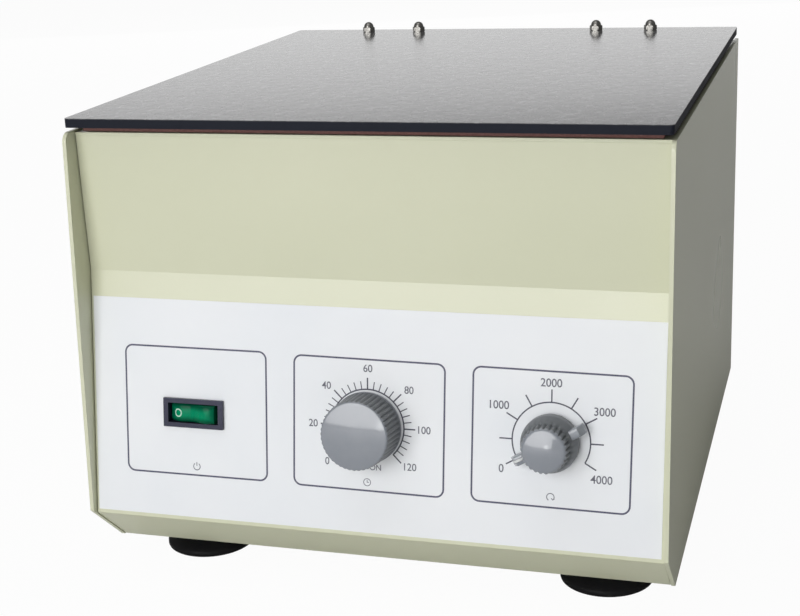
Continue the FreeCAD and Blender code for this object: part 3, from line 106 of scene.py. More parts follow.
class Finish:
    """A material made of nodes. Sizes of grain are in metres on the piece itself."""

    def __init__(self, name, **fixed):
        self.material = bpy.data.materials.new(name)
        self.material.use_nodes = True
        self.tree = self.material.node_tree
        self.shader = self.tree.nodes["Principled BSDF"]
        self.place = self.node("ShaderNodeTexCoord", output="Object")
        self.set(fixed)

    def node(self, kind, settings=None, sockets=None, output=0):
        made = self.tree.nodes.new(kind)
        for name, setting in (settings or {}).items():
            setattr(made, name, setting)
        for name, value in (sockets or {}).items():
            self.plug(made.inputs[name], value)
        return Wire(self, made.outputs[output])

    def plug(self, socket, value):
        if isinstance(value, Wire):
            self.tree.links.new(value.socket, socket)
        elif hasattr(value, "__len__") and len(value) == 3 and socket.type == "RGBA":
            socket.default_value = (*value, 1)
        else:
            socket.default_value = value

    def set(self, sockets):
        for name, value in sockets.items():
            self.plug(self.shader.inputs[name.replace("_", " ")], value)

    def math(self, operation, *values):
        return self.node("ShaderNodeMath", {"operation": operation}, dict(enumerate(values)))

    def vector(self, operation, *values, output=0):
        return self.node("ShaderNodeVectorMath", {"operation": operation},
                         dict(enumerate(values)), output)

    def mix(self, share, first, second):
        """Colour that goes from the first to the second as share goes from 0 to 1."""
        return self.node("ShaderNodeMix", {"data_type": "RGBA"}, {0: share, 6: first, 7: second},
                         output=2)

    def axis(self, letter):
        return self.node("ShaderNodeSeparateXYZ", None, {0: self.place}, output=letter)

    def distance(self, spot, direction):
        """How far a point is from a spot along a direction, either way."""
        away = self.vector("SUBTRACT", self.place, tuple(spot))
        along = self.vector("DOT_PRODUCT", away, tuple(direction), output="Value")
        return self.math("ABSOLUTE", along)

    def stretched(self, factors):
        """Places for a grain that is drawn out along the axes whose factor is below 1."""
        return self.vector("MULTIPLY", self.place, factors)

    def noise(self, size, detail=2.0, rough=0.5, place=None):
        return self.node("ShaderNodeTexNoise", None,
                         {"Vector": place or self.place, "Scale": 1 / size, "Detail": detail,
                          "Roughness": rough})

    def cells(self, size, feature="F1", place=None):
        return self.node("ShaderNodeTexVoronoi", {"feature": feature},
                         {"Vector": place or self.place, "Scale": 1 / size})

    def step(self, value, low, high):
        """0 below low, 1 above high and a smooth rise between them."""
        return self.node("ShaderNodeMapRange", {"interpolation_type": "SMOOTHSTEP"},
                         {0: value, 1: low, 2: high})

    def bump(self, height, depth):
        normal = self.node("ShaderNodeBump", None, {"Height": height, "Distance": depth})
        self.set({"Normal": normal})


def cream_enamel():
    """Gloss enamel on sheet steel: fine orange peel and a faint drift of tone."""
    finish = Finish("cream_enamel", Coat_Weight=0.15, Coat_Roughness=0.08)
    drift = finish.noise(110 * MM, 1)
    finish.set({"Base Color": finish.mix(drift, (0.600, 0.615, 0.450), (0.650, 0.660, 0.495)),
                "Roughness": 0.24 + 0.12 * drift})
    finish.bump(finish.noise(1.8 * MM, 1), 0.02 * MM)
    return finish.material


def panel_film():
    """Satin printed film, pale grey-white, with a soft cool cloud in it."""
    finish = Finish("panel_film", Specular_IOR_Level=0.3)
    cloud = finish.noise(70 * MM, 2)
    finish.set({"Base Color": finish.mix(cloud, (0.735, 0.765, 0.805), (0.850, 0.858, 0.868)),
                "Roughness": 0.36 + 0.1 * cloud})
    finish.bump(finish.noise(0.9 * MM, 2), 0.008 * MM)
    return finish.material


def ink(name, colour):
    finish = Finish(name)
    wear = finish.noise(1.2 * MM, 3)
    finish.set({"Base Color": finish.mix(wear * 0.2, colour, (0.30, 0.31, 0.36)),
                "Roughness": 0.42 + 0.15 * wear})
    return finish.material


def smoked_sheet():
    """Dark smoked plastic sheet with pebbles on its top. The top is painted much lighter than the
    sides, with painted flecks and glints of highlight, all a little longer from front to back."""
    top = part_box("lid_plate")[1].z
    finish = Finish("smoked_sheet", Coat_Roughness=0.14, Specular_IOR_Level=0.15)
    on_top = finish.step(finish.axis("Z"), top - 0.5 * MM, top - 0.1 * MM)
    drawn_out = finish.stretched((1, 0.7, 1))
    pebble = finish.cells(5.6 * MM, "SMOOTH_F1", drawn_out)
    crackle = finish.noise(3.4 * MM, 4, 0.6, drawn_out)
    grain = 0.6 * pebble + 0.6 * crackle
    # painted highlight: the top is much lighter than the dark sides, with lighter flecks and pale
    # glints standing in for the sheen of the pebbles
    painted_fleck_sheen = finish.step(finish.noise(4.0 * MM, 3, 0.6, drawn_out), 0.50, 0.72)
    painted_glint = finish.step(finish.noise(2.4 * MM, 2, place=drawn_out), 0.68, 0.76)
    tone = finish.mix(painted_fleck_sheen, (0.105, 0.106, 0.112), (0.215, 0.216, 0.222))
    tone = finish.mix(painted_glint * 0.5, tone, (0.60, 0.60, 0.60))
    finish.set({"Base Color": finish.mix(on_top, (0.011, 0.013, 0.021), tone),
                "Roughness": 0.24 + 0.08 * crackle + 0.36 * (1 - on_top), "Coat Weight": on_top})
    finish.bump(grain * on_top, 0.34 * MM)
    return finish.material


def foam_rubber():
    finish = Finish("foam_rubber", Roughness=0.75, Specular_IOR_Level=0.25)
    pores = finish.noise(1.0 * MM, 4, 0.65)
    finish.set({"Base Color": finish.mix(pores, (0.265, 0.138, 0.123), (0.120, 0.052, 0.045))})
    finish.bump(pores, 0.25 * MM)
    return finish.material


def black_rubber():
    finish = Finish("black_rubber", Specular_IOR_Level=0.12)
    bloom = finish.noise(14 * MM, 4)
    finish.set({"Base Color": finish.mix(bloom, (0.004, 0.004, 0.005), (0.011, 0.011, 0.012)),
                "Roughness": 0.42 + 0.25 * bloom})
    finish.bump(finish.noise(0.7 * MM, 3), 0.04 * MM)
    return finish.material


def moulded_black(name="moulded_black", colour=(0.012, 0.012, 0.020), roughness=0.28, shine=0.5):
    """Black moulded plastic with a fine tooth, a little paler in patches."""
    finish = Finish(name, Specular_IOR_Level=shine)
    drift = finish.noise(9 * MM, 2)
    finish.set({"Base Color": finish.mix(drift, colour, tuple(1.7 * c for c in colour)),
                "Roughness": roughness + 0.12 * drift})
    finish.bump(finish.noise(0.5 * MM, 2), 0.015 * MM)
    return finish.material


def knob_plastic():
    """Grey moulded plastic with a soft shine and the faint mottle of its moulding."""
    finish = Finish("knob_plastic", Coat_Weight=1.0, Coat_Roughness=0.08)
    mottle = finish.noise(5 * MM, 3)
    finish.set({"Base Color": finish.mix(mottle, (0.200, 0.218, 0.250), (0.228, 0.246, 0.275)),
                "Roughness": 0.30 + 0.12 * mottle})
    finish.bump(finish.noise(0.45 * MM, 2), 0.010 * MM)
    return finish.material


def knob_side_shade():
    """The same plastic on the knobs' sides, dull, in a darker colour that is painted shade."""
    finish = Finish("knob_side_shade", Specular_IOR_Level=0.5)
    side_mottle = finish.noise(3 * MM, 3)
    # painted shade: the sides are a darker copy of the knob plastic
    finish.set({"Base Color": finish.mix(side_mottle, (0.110, 0.120, 0.131), (0.150, 0.161, 0.174)),
                "Roughness": 0.30 + 0.15 * side_mottle})
    finish.bump(finish.noise(0.5 * MM, 2), 0.012 * MM)
    return finish.material


def green_lens():
    """Clear green plastic of the rocker, with painted shade that darkens it towards its long edges
    and its ends.
    """
    finish = Finish("green_lens", Specular_IOR_Level=0.08)
    depth = finish.noise(3.2 * MM, 2)
    middle = panel_spot(*on_face("power_rocker"))
    edge = finish.step(finish.distance(middle, UP), 0.7 * MM, 3.7 * MM)
    end = finish.step(finish.distance(middle, ACROSS), 7.0 * MM, 11.6 * MM)
    lit = finish.mix(depth, (0.000, 0.180, 0.090), (0.000, 0.290, 0.125))
    # painted shade: darker green near the pad's long edges and its ends
    painted_edge_shade = finish.math("MAXIMUM", edge * 0.85, end * 0.7)
    finish.set({"Base Color": finish.mix(painted_edge_shade, lit, (0.000, 0.045, 0.022)),
                "Roughness": 0.20 + 0.08 * depth})
    finish.bump(finish.noise(1.5 * MM, 1), 0.02 * MM)
    return finish.material


def metal(name, colour, roughness, grain, depth, stretch=(1, 1, 1), metallic=1.0):
    """Metal with a fine grain, drawn out along an axis where the stretch is below 1."""
    finish = Finish(name)
    lines = finish.noise(grain, 3, 0.6, finish.stretched(stretch))
    drift = finish.noise(16 * MM, 3)
    dull = tuple(0.78 * c for c in colour)
    finish.set({"Base Color": finish.mix(drift, colour, dull), "Metallic": metallic,
                "Roughness": roughness + 0.14 * lines})
    finish.bump(lines, depth)
    return finish.material


def spun_metal(name, node, colour, roughness, pitch, depth):
    """Metal turned on a lathe: fine rings about the upright axis of a node."""
    low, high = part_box(node)
    axis = ((low.x + high.x) / 2, (low.y + high.y) / 2, 0)
    finish = Finish(name)
    flat = finish.vector("MULTIPLY", finish.vector("SUBTRACT", finish.place, axis), (1, 1, 0))
    along = finish.vector("LENGTH", flat, output="Value") + finish.axis("Z")
    rings = finish.node("ShaderNodeTexNoise", {"noise_dimensions": "1D"},
                        {"W": along * (1 / pitch), "Scale": 1.0, "Detail": 2.0})
    drift = finish.noise(30 * MM, 3)
    finish.set({"Base Color": finish.mix(drift, colour, tuple(0.82 * c for c in colour)),
                "Metallic": 1.0, "Roughness": roughness + 0.12 * rings})
    finish.bump(rings, depth)
    return finish.material


def copper_winding():
    """Lacquered wire laid side by side, with painted shade darkening the grooves between the
    turns.
    """
    finish = Finish("copper_winding", Coat_Weight=0.5)
    lay = finish.node("ShaderNodeTexWave", {"wave_profile": "SIN", "bands_direction": "Z"},
                      {"Vector": finish.place, "Scale": 260.0, "Distortion": 1.5, "Detail": 1.0})
    # painted shade: the copper is darker where the wave sinks between the turns
    finish.set({"Base Color": finish.mix(lay, (0.20, 0.055, 0.020), (0.55, 0.200, 0.075)),
                "Metallic": 0.9, "Roughness": 0.30 + 0.1 * lay})
    finish.bump(lay, 0.2 * MM)
    return finish.material


def board_laminate():
    """Green solder mask over copper tracks."""
    finish = Finish("board_laminate", Coat_Weight=0.3)
    tracks = finish.cells(5 * MM, "DISTANCE_TO_EDGE")
    edge = finish.step(tracks, 0.03, 0.06)
    finish.set({"Base Color": finish.mix(edge, (0.03, 0.16, 0.05), (0.012, 0.075, 0.028)),
                "Roughness": 0.35 + 0.1 * edge})
    finish.bump(edge, -0.03 * MM)
    return finish.material


def pressed_carbon():
    finish = Finish("pressed_carbon", Metallic=0.3)
    dust = finish.noise(0.8 * MM, 4, 0.7)
    finish.set({"Base Color": finish.mix(dust, (0.012, 0.012, 0.013), (0.045, 0.045, 0.047)),
                "Roughness": 0.5 + 0.2 * dust})
    finish.bump(dust, 0.05 * MM)
    return finish.material


def mark(name, fresh, worn):
    finish = Finish(name)
    wear = finish.noise(0.8 * MM, 3)
    finish.set({"Base Color": finish.mix(wear, fresh, worn),
                "Roughness": 0.4 + 0.1 * wear})
    return finish.material


ENAMEL = cream_enamel()
RUBBER = black_rubber()
SWITCH_BLACK = moulded_black("switch_black", (0.020, 0.021, 0.042), 0.24, 0.3)
MOULDED = moulded_black()
KNOB = knob_plastic()
SIDE_SHADE = knob_side_shade()
WHITE_MARK = mark("white_mark", (0.85, 0.86, 0.86), (0.72, 0.74, 0.74))
RING_MARK = mark("ring_mark", (0.62, 0.80, 0.70), (0.40, 0.64, 0.52))
ZINC = metal("zinc_plate", (0.62, 0.61, 0.57), 0.26, 1.2 * MM, 0.02 * MM)
NICKEL = metal("worn_nickel", (0.34, 0.33, 0.31), 0.30, 1.5 * MM, 0.12 * MM)
GROUND_STEEL = metal("ground_steel", (0.56, 0.56, 0.57), 0.20, 0.8 * MM, 0.01 * MM, (1, 1, 0.1))
FINISHES = {
    "side_panel_left": ENAMEL,
    "side_panel_right": ENAMEL,
    "front_panel": ENAMEL,
    "base_pan": ENAMEL,
    "back_panel": ENAMEL,
    "top_deck": ENAMEL,
    "control_label": panel_film(),
    "lid_plate": smoked_sheet(),
    "lid_gasket": foam_rubber(),
    "chamber_bowl": spun_metal("spun_bowl", "chamber_bowl", (0.62, 0.63, 0.64), 0.24, 1.1 * MM,
                               0.03 * MM),
    "rotor_head": spun_metal("turned_alloy", "rotor_head", (0.72, 0.73, 0.74), 0.20, 0.5 * MM,
                             0.02 * MM),
    "motor_cap": spun_metal("cap_alloy", "motor_cap", (0.60, 0.61, 0.62), 0.34, 0.7 * MM,
                            0.02 * MM),
    "heat_sink": metal("drawn_alloy", (0.50, 0.51, 0.52), 0.32, 0.7 * MM, 0.02 * MM, (1, 1, 0.08)),
    "armature_windings": copper_winding(),
    "commutator": metal("commutator_copper", (0.70, 0.33, 0.18), 0.24, 0.9 * MM, 0.02 * MM),
    "armature_core": metal("core_laminations", (0.34, 0.34, 0.35), 0.42, 0.5 * MM, 0.04 * MM,
                           (0.1, 0.1, 1)),
    "field_magnets": metal("ferrite", (0.05, 0.05, 0.052), 0.55, 0.9 * MM, 0.03 * MM,
                           metallic=0.2),
    "motor_can": metal("motor_steel", (0.42, 0.43, 0.44), 0.30, 1.4 * MM, 0.02 * MM, (1, 1, 0.2)),
    "carbon_brushes": pressed_carbon(),
    "switch_terminals": metal("tinned_brass", (0.72, 0.60, 0.33), 0.24, 1.0 * MM, 0.01 * MM),
    "inlet_pins": metal("plated_brass", (0.74, 0.66, 0.46), 0.18, 1.0 * MM, 0.01 * MM),
    "control_board": board_laminate(),
    "board_parts": moulded_black("board_black", (0.020, 0.020, 0.026), 0.36),
    "speed_pot": metal("pot_case", (0.54, 0.50, 0.42), 0.30, 1.0 * MM, 0.02 * MM),
    "switch_housing": SWITCH_BLACK,
    "bowl_grommet": RUBBER,
    "rubber_dampers": RUBBER,
    "suction_feet": RUBBER,
    "lid_dome_nuts": NICKEL,
    "timer_knob": KNOB,
    "speed_knob": KNOB,
    "switch_rocker": green_lens(),
}
SLEEVE_ALLOY = metal("sleeve_alloy", (0.74, 0.75, 0.76), 0.26, 1.0 * MM, 0.015 * MM)
for index in range(1, 7):
    FINISHES[f"tube_sleeve_{index}"] = SLEEVE_ALLOY
for node in ("rotor_nut", "motor_shaft", "shaft_bearings", "timer_shaft", "speed_shaft",
             "hinge_pins"):
    FINISHES[node] = GROUND_STEEL
for node in ("brush_holders", "timer_body", "power_inlet", "fuse_holder"):
    FINISHES[node] = MOULDED

# Edge softening of the pieces that keep their own solid, in metres; the rest take SOFT_EDGE.
SOFT_EDGE = 0.2 * MM
EDGES = {
    "front_panel": 0.5 * MM,
    "base_pan": 0.5 * MM,
    "side_panel_left": 0.8 * MM,
    "side_panel_right": 0.7 * MM,
    "back_panel": 0.3 * MM,
    "lid_plate": 0.6 * MM,
    "lid_gasket": 0.7 * MM,
    "control_label": 0.05 * MM,
    "rotor_head": 0.6 * MM,
    "switch_housing": 0.45 * MM,
    "power_inlet": 0.5 * MM,
    "suction_feet": 0.8 * MM,
}
# Points this near are one point, faces this flat are one face, and edges this sharp are rounded.
SAME_POINT = 0.001 * MM
SAME_FACE = math.radians(0.5)
SHARP_EDGE = math.radians(35)


def soften(piece, width):
    """Joins the faces of a node's mesh and rounds its edges, by modifiers alone."""
    weld = piece.modifiers.new("weld", "WELD")
    weld.merge_threshold = SAME_POINT
    flat = piece.modifiers.new("flat", "DECIMATE")
    flat.decimate_type = "DISSOLVE"
    flat.angle_limit = SAME_FACE
    bevel = piece.modifiers.new("bevel", "BEVEL")
    bevel.width = width
    bevel.segments = 2
    bevel.limit_method = "ANGLE"
    bevel.angle_limit = SHARP_EDGE
    bevel.harden_normals = True


def dress_nodes():
    for name, piece in frame["nodes"].items():
        piece.data.materials.clear()
        piece.data.materials.append(FINISHES.get(name, ZINC))
        soften(piece, EDGES.get(name, SOFT_EDGE))


# Meshes


def add_piece(name, mesh, finish, body, place=None, replaced=()):
    """Shows a mesh as a piece that rides on a body and takes the place of nodes."""
    if place:
        mesh.transform(place)
    piece = bpy.data.objects.new(name, mesh)
    bpy.context.scene.collection.objects.link(piece)
    if finish:
        mesh.materials.append(finish)
    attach(piece, body)
    if replaced:
        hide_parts(*replaced)
    return piece


def as_mesh(name, shape, sharp=30):
    """Makes a mesh of a shape, smooth but for the edges above an angle in degrees."""
    mesh = bpy.data.meshes.new(name)
    bmesh.ops.recalc_face_normals(shape, faces=shape.faces)
    shape.to_mesh(mesh)
    shape.free()
    mesh.polygons.foreach_set("use_smooth", [True] * len(mesh.polygons))
    mesh.set_sharp_from_angle(angle=math.radians(sharp))
    return mesh


def thicken(piece, thickness):
    """Gives a flat mark its thickness, downwards from its face."""
    solid = piece.modifiers.new("ink", "SOLIDIFY")
    solid.thickness = thickness
    solid.offset = -1


def arc(centre, radius, start, end, steps):
    """Points of an arc; angles in degrees from +X, anticlockwise."""
    angles = [math.radians(start + (end - start) * index / steps) for index in range(steps + 1)]
    return [(centre[0] + radius * math.cos(a), centre[1] + radius * math.sin(a)) for a in angles]


def lathe(profile, segments, waviness=None, shape=None, place=Matrix()):
    """Turns a profile of (radius, height) about Z; waviness(radius, height, angle) gives the
    radius at an angle where the piece isn't round."""
    shape = shape or bmesh.new()
    rings = []
    for radius, height in profile:
        if radius == 0:
            rings.append([shape.verts.new(place @ Vector((0, 0, height)))])
            continue
        ring = []
        for index in range(segments):
            angle = 2 * math.pi * index / segments
            r = waviness(radius, height, angle) if waviness else radius
            ring.append(shape.verts.new(place @ Vector((r * math.cos(angle), r * math.sin(angle),
                                                        height))))
        rings.append(ring)
    for lower, upper in zip(rings, rings[1:]):
        if len(lower) == len(upper) == 1:
            continue
        for index in range(segments):
            after = (index + 1) % segments
            corners = [lower[index % len(lower)], lower[after % len(lower)],
                       upper[after % len(upper)], upper[index % len(upper)]]
            unique = list(dict.fromkeys(corners))
            if len(unique) > 2:
                shape.faces.new(unique)
    return shape


def loft(shape, loops):
    """Joins loops of equally many corners, one after another, and closes both ends."""
    for one, two in zip(loops, loops[1:]):
        for index in range(len(one)):
            after = (index + 1) % len(one)
            shape.faces.new((one[index], one[after], two[after], two[index]))
    shape.faces.new(loops[0])
    shape.faces.new(loops[-1])


# Controls

TIMER_SPOT = on_face("timer_turn")
SPEED_SPOT = on_face("speed_turn")
SWITCH_SPOT = on_face("power_rocker")
KNOB_LIFT = 0.8 * MM
KNOB_BORE = 3.0 * MM
KNOB_BORE_TOP = 13.5 * MM
RECESS_RADIUS = 8.5 * MM
RECESS_DEEP = 5 * MM
# How far up a knob's rounded rim the darker finish of its sides, painted shade, reaches, as a
# share of the rounding.
SHOULDER = 0.45
PAINT_THICK = 0.1 * MM


def knob_inside():
    """Profile of a knob's hollow underside, from the top of its bore to its foot."""
    return [
        (0, KNOB_BORE_TOP),
        (KNOB_BORE, KNOB_BORE_TOP),
        (KNOB_BORE, RECESS_DEEP),
        (RECESS_RADIUS, RECESS_DEEP),
        (RECESS_RADIUS, 0),
    ]


def cap_profile(foot, low, brow, height, corner, crown, steps):
    """Profile of a knob's cap: a side that narrows from foot to brow, a rounded rim and a face
    that rises to its middle, with the number of steps in each."""
    side, rim, face = steps
    top, flat = height - corner, brow - corner
    shares = [index / side for index in range(side + 1)]
    profile = [(foot + (brow - foot) * share, low + (top - low) * share) for share in shares]
    profile += arc((flat, top), corner, 0, 90, rim)[1:]
    for index in range(1, face):
        share = index / face
        profile.append((flat * (1 - share), height + crown * (1 - (1 - share) ** 2)))
    return profile + [(0, height + crown)]


def fluted(count, depth, low, high, fade):
    """Radius rule for a knob: scallops between two heights that fade out at both ends."""
    def radius_at(radius, height, angle):
        rise = min(max((height - low) / fade, 0), 1) * min(max((high - height) / fade, 0), 1)
        return radius - depth * rise * (0.5 - 0.5 * math.cos(count * angle)) ** 2
    return radius_at


def shade_sides(mesh, low, high, turned):
    """Gives a knob's turned faces between two heights the darker finish of painted shade, before
    it is placed.
    """
    mesh.materials.append(KNOB)
    mesh.materials.append(SIDE_SHADE)
    for face in mesh.polygons[:turned]:
        if low < face.center.z < high:
            face.material_index = 1


def timer_knob():
    """Large knob: thin skirt, fluted side, and a face that rises slightly to its middle."""
    skirt, skirt_thick, lip = 17.3 * MM, 1.4 * MM, 0.4 * MM
    foot, brow, height = 17.0 * MM, 16.6 * MM, 19.65 * MM
    corner, crown = 1.3 * MM, 0.85 * MM
    flutes, flute_deep = 44, 0.75 * MM
    profile = knob_inside()
    profile += [(skirt - lip, 0)]
    profile += arc((skirt - lip, lip), lip, -90, 0, 3)[1:]
    profile += arc((skirt - lip, skirt_thick - lip), lip, 0, 90, 3)
    profile += [(foot + 0.1 * MM, skirt_thick)]
    profile += cap_profile(foot, skirt_thick, brow, height, corner, crown, (12, 8, 8))
    rule = fluted(flutes, flute_deep, skirt_thick, height - 0.2 * MM, 1.0 * MM)
    shape = lathe(profile, 8 * flutes, rule)
    turned = len(shape.faces)
    mesh = as_mesh("timer_knob_moulding", shape, 50)
    shade_sides(mesh, skirt_thick, height - corner + SHOULDER * corner, turned)
    place = panel_matrix(*TIMER_SPOT, LABEL_SHEET + KNOB_LIFT)
    add_piece("timer_knob_moulding", mesh, None, "timer_dial", place, ["timer_knob"])


POINTER_IN, POINTER_OUT, POINTER_RUN = 11.0 * MM, 18.65 * MM, 2.4 * MM
POINTER_WIDE, POINTER_LOW, POINTER_TOP, POINTER_END = 4.6 * MM, 3.6 * MM, 10.0 * MM, 6.44 * MM
POINTER_REST = math.radians(119)
GROOVE_WIDE, GROOVE_DEEP = 1.3 * MM, 0.5 * MM


def pointer_wing(shape, angle, groove_deep):
    """One arm of the speed knob's pointer: a bar with rounded upper edges, a sloping end and,
    where groove_deep isn't 0, a groove along its top."""
    chamfer = 0.6 * MM
    half, slot = POINTER_WIDE / 2, GROOVE_WIDE / 2
    turn = Matrix.Rotation(angle, 4, "Z")
    sections = []
    for away, top in ((POINTER_IN, POINTER_TOP), (POINTER_OUT - POINTER_RUN, POINTER_TOP),
                      (POINTER_OUT - 0.2 * MM, POINTER_END + 0.25 * MM),
                      (POINTER_OUT, POINTER_END - 0.3 * MM)):
        side = [(half, POINTER_LOW), (half, top - chamfer),
                (half - 0.25 * chamfer, top - 0.4 * chamfer), (half - chamfer, top),
                (slot + 0.1 * MM, top), (slot, top - groove_deep)]
        outline = side + [(-x, z) for x, z in side[::-1]]
        sections.append([shape.verts.new(turn @ Vector((x, away, z))) for x, z in outline])
    loft(shape, sections)


def speed_knob():
    """Small knob: smooth round base that narrows to a neck, fluted cap, and a pointer bar
    through its base."""
    base, base_high, neck = 13.4 * MM, 4.6 * MM, 11.9 * MM
    cap_low, cap, brow, height = 11.2 * MM, 11.1 * MM, 10.9 * MM, 18.6 * MM
    corner, crown = 2.3 * MM, 0.8 * MM
    heel, soft = 0.3 * MM, 3.0 * MM
    flutes, flute_deep = 26, 0.9 * MM
    lean = math.degrees(math.atan((base - neck) / (cap_low - base_high)))
    profile = knob_inside()
    profile += arc((base - heel, heel), heel, -90, 0, 3)
    profile += arc((base - soft, base_high), soft, 0, lean, 4)
    profile += [(neck + 0.2 * MM, cap_low - 1.0 * MM), (neck - 0.15 * MM, cap_low - 0.4 * MM),
                (neck - 0.5 * MM, cap_low)]
    profile += cap_profile(cap, cap_low + 0.4 * MM, brow, height, corner, crown, (10, 10, 6))
    rule = fluted(flutes, flute_deep, cap_low - 1.0 * MM, height - 0.3 * MM, 1.2 * MM)
    shape = lathe(profile, 12 * flutes, rule)
    turned = len(shape.faces)
    pointer_wing(shape, POINTER_REST, GROOVE_DEEP)
    pointer_wing(shape, POINTER_REST + math.pi, 0)
    mesh = as_mesh("speed_knob_moulding", shape, 40)
    shade_sides(mesh, 0, height - corner + SHOULDER * corner, turned)
    place = panel_matrix(*SPEED_SPOT, LABEL_SHEET + KNOB_LIFT)
    add_piece("speed_knob_moulding", mesh, None, "speed_dial", place, ["speed_knob"])
    line = bmesh.new()
    turn = Matrix.Rotation(POINTER_REST, 4, "Z")
    half = GROOVE_WIDE / 2 - 0.05 * MM
    lift = 0.12 * MM - GROOVE_DEEP
    pairs = [[line.verts.new(turn @ Vector((side * half, away, top + lift))) for side in (-1, 1)]
             for away, top in ((12.6 * MM, POINTER_TOP), (POINTER_OUT - POINTER_RUN, POINTER_TOP),
                               (POINTER_OUT - 0.25 * MM, POINTER_END + 0.3 * MM))]
    for one, two in zip(pairs, pairs[1:]):
        line.faces.new((one[0], one[1], two[1], two[0]))
    painted = add_piece("pointer_line", as_mesh("pointer_line", line), WHITE_MARK, "speed_dial",
                        place)
    thicken(painted, PAINT_THICK)


def rocker():
    """Green rocker: two rounded pads that meet in a shallow valley over its pivot, and a ring
    mark on the pad that is pressed in."""
    long, high, corner = 12.1 * MM, 4.6 * MM, 1.6 * MM
    valley, rise, fall = 3.6 * MM, 1.3 * MM, 1.9 * MM
    pad_top, swell = 0.54, 0.1 * MM
    keel, keel_long, keel_rise = -6 * MM, 6 * MM, 4 * MM
    axle_out, pressed = -2 * MM, math.radians(-9)
    ring_middle, ring_lift, ring_steps = -7.2 * MM, 0.13 * MM, 36
    steps = 48

    def crest(x):
        away = abs(x) / long
        swing = 0.5 - 0.5 * math.cos(math.pi * min(away / pad_top, 1))
        return valley + rise * swing - fall * max((away - pad_top) / (1 - pad_top), 0) ** 2

    def belly(x):
        return keel + keel_rise * max(abs(x) - keel_long, 0) / (long - keel_long)

    shape = bmesh.new()
    loops = []
    for index in range(steps + 1):
        x = long * (2 * index / steps - 1)
        top = crest(x)
        side = arc((high - corner, top - corner), corner, 0, 90, 5)
        section = [(high, belly(x))] + side + [(0, top + swell)]
        section += [(-y, z) for y, z in side[::-1]] + [(-high, belly(x))]
        loops.append([shape.verts.new((x, y, z)) for y, z in section])
    loft(shape, loops)
    pin = [(0, -5.7 * MM), (1.0 * MM, -5.7 * MM), (1.2 * MM, -5.5 * MM), (1.2 * MM, 5.5 * MM),
           (1.0 * MM, 5.7 * MM), (0, 5.7 * MM)]
    lathe(pin, 24, shape=shape, place=Matrix.Rotation(math.radians(90), 4, "X"))
    place = panel_matrix(*SWITCH_SPOT, axle_out) @ Matrix.Rotation(pressed, 4, "Y")
    mesh = as_mesh("rocker_pad", shape, 40)
    add_piece("rocker_pad", mesh, FINISHES["switch_rocker"], "rocker", place,
              ["switch_rocker"])
    ring = bmesh.new()
    edges = []
    for wide, tall in ((2.05 * MM, 2.1 * MM), (1.45 * MM, 1.5 * MM)):
        angles = [2 * math.pi * index / ring_steps for index in range(ring_steps)]
        spots = [(ring_middle + wide * math.cos(a), tall * math.sin(a)) for a in angles]
        edges.append([ring.verts.new((x, y, crest(x) + ring_lift)) for x, y in spots])
    for index in range(ring_steps):
        after = (index + 1) % ring_steps
        ring.faces.new((edges[0][index], edges[0][after], edges[1][after], edges[1][index]))
    painted = add_piece("rocker_ring", as_mesh("rocker_ring", ring), RING_MARK, "rocker",
                        place)
    thicken(painted, PAINT_THICK)


# Lid nuts


def dome_nuts():
    """The four acorn nuts on the lid: chamfered hexagon under a dome."""
    half_flats, hex_high, dome, tall = 3.5 * MM, 3.0 * MM, 3.15 * MM, 6.3 * MM
    bite, same_tip = 0.35 * MM, 0.01 * MM
    round_top = half_flats + 0.2 * MM
    corner = half_flats / math.cos(math.radians(30))

    def hexagon(radius, _, angle):
        from_flat = math.radians(30) - angle % math.radians(60)
        return min(radius, half_flats / math.cos(from_flat))

    profile = [(0, 0), (corner - bite, 0), (corner, bite), (corner, hex_high - bite),
               (round_top, hex_high)]
    profile += arc((0, tall - dome), dome, 0, 80, 12) + [(0, tall)]
    points = [vertex.co for vertex in frame["nodes"]["lid_dome_nuts"].data.vertices]
    low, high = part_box("lid_dome_nuts")
    tips = {(round(spot.x, 5), round(spot.y, 5)) for spot in points if spot.z > high.z - same_tip}
    shape = bmesh.new()
    for across, along in sorted(tips):
        lathe(profile, 72, hexagon, shape, Matrix.Translation((across, along, low.z)))
    add_piece("dome_nuts", as_mesh("dome_nuts", shape, 35), NICKEL, "lid",
              replaced=["lid_dome_nuts"])


# Printing on the panel film

# Left, right, bottom and top of each frame in mm, and its turn in degrees.
FRAMES = (
    (-124.5, -50.1, 23.6, 87.4, 0),
    (-35.8, 39.0, 22.85, 86.65, -0.5),
    (52.6, 126.8, 22.05, 86.05, -0.5),
)
# Numbers and where their middles lie from the middle of their dial, in mm.
TIME_NUMBERS = (
    ("0", -20.1, -18.1), ("20", -27.1, 0.1), ("40", -20.3, 18.9), ("60", 0.4, 28.2),
    ("80", 20.7, 18.9), ("100", 27.9, 0.1), ("120", 21.0, -18.2), ("ON", 4.2, -19.6),
)
SPEED_NUMBERS = (
    ("0", -23.4, -14.3), ("1000", -25.0, 15.7), ("2000", -0.4, 27.4), ("3000", 24.3, 15.3),
    ("4000", 23.5, -16.4),
)
FRAME_CORNER = 3.8 * MM
FRAME_LINE = 0.86 * MM
DIAL_LINE = 0.66 * MM
INK_THICK = 0.03 * MM
# The characters: height of a capital and extra boldness as shares of the size, and narrowing.
CAPITAL, BOLD, NARROW = 0.73, 0.012, 0.93


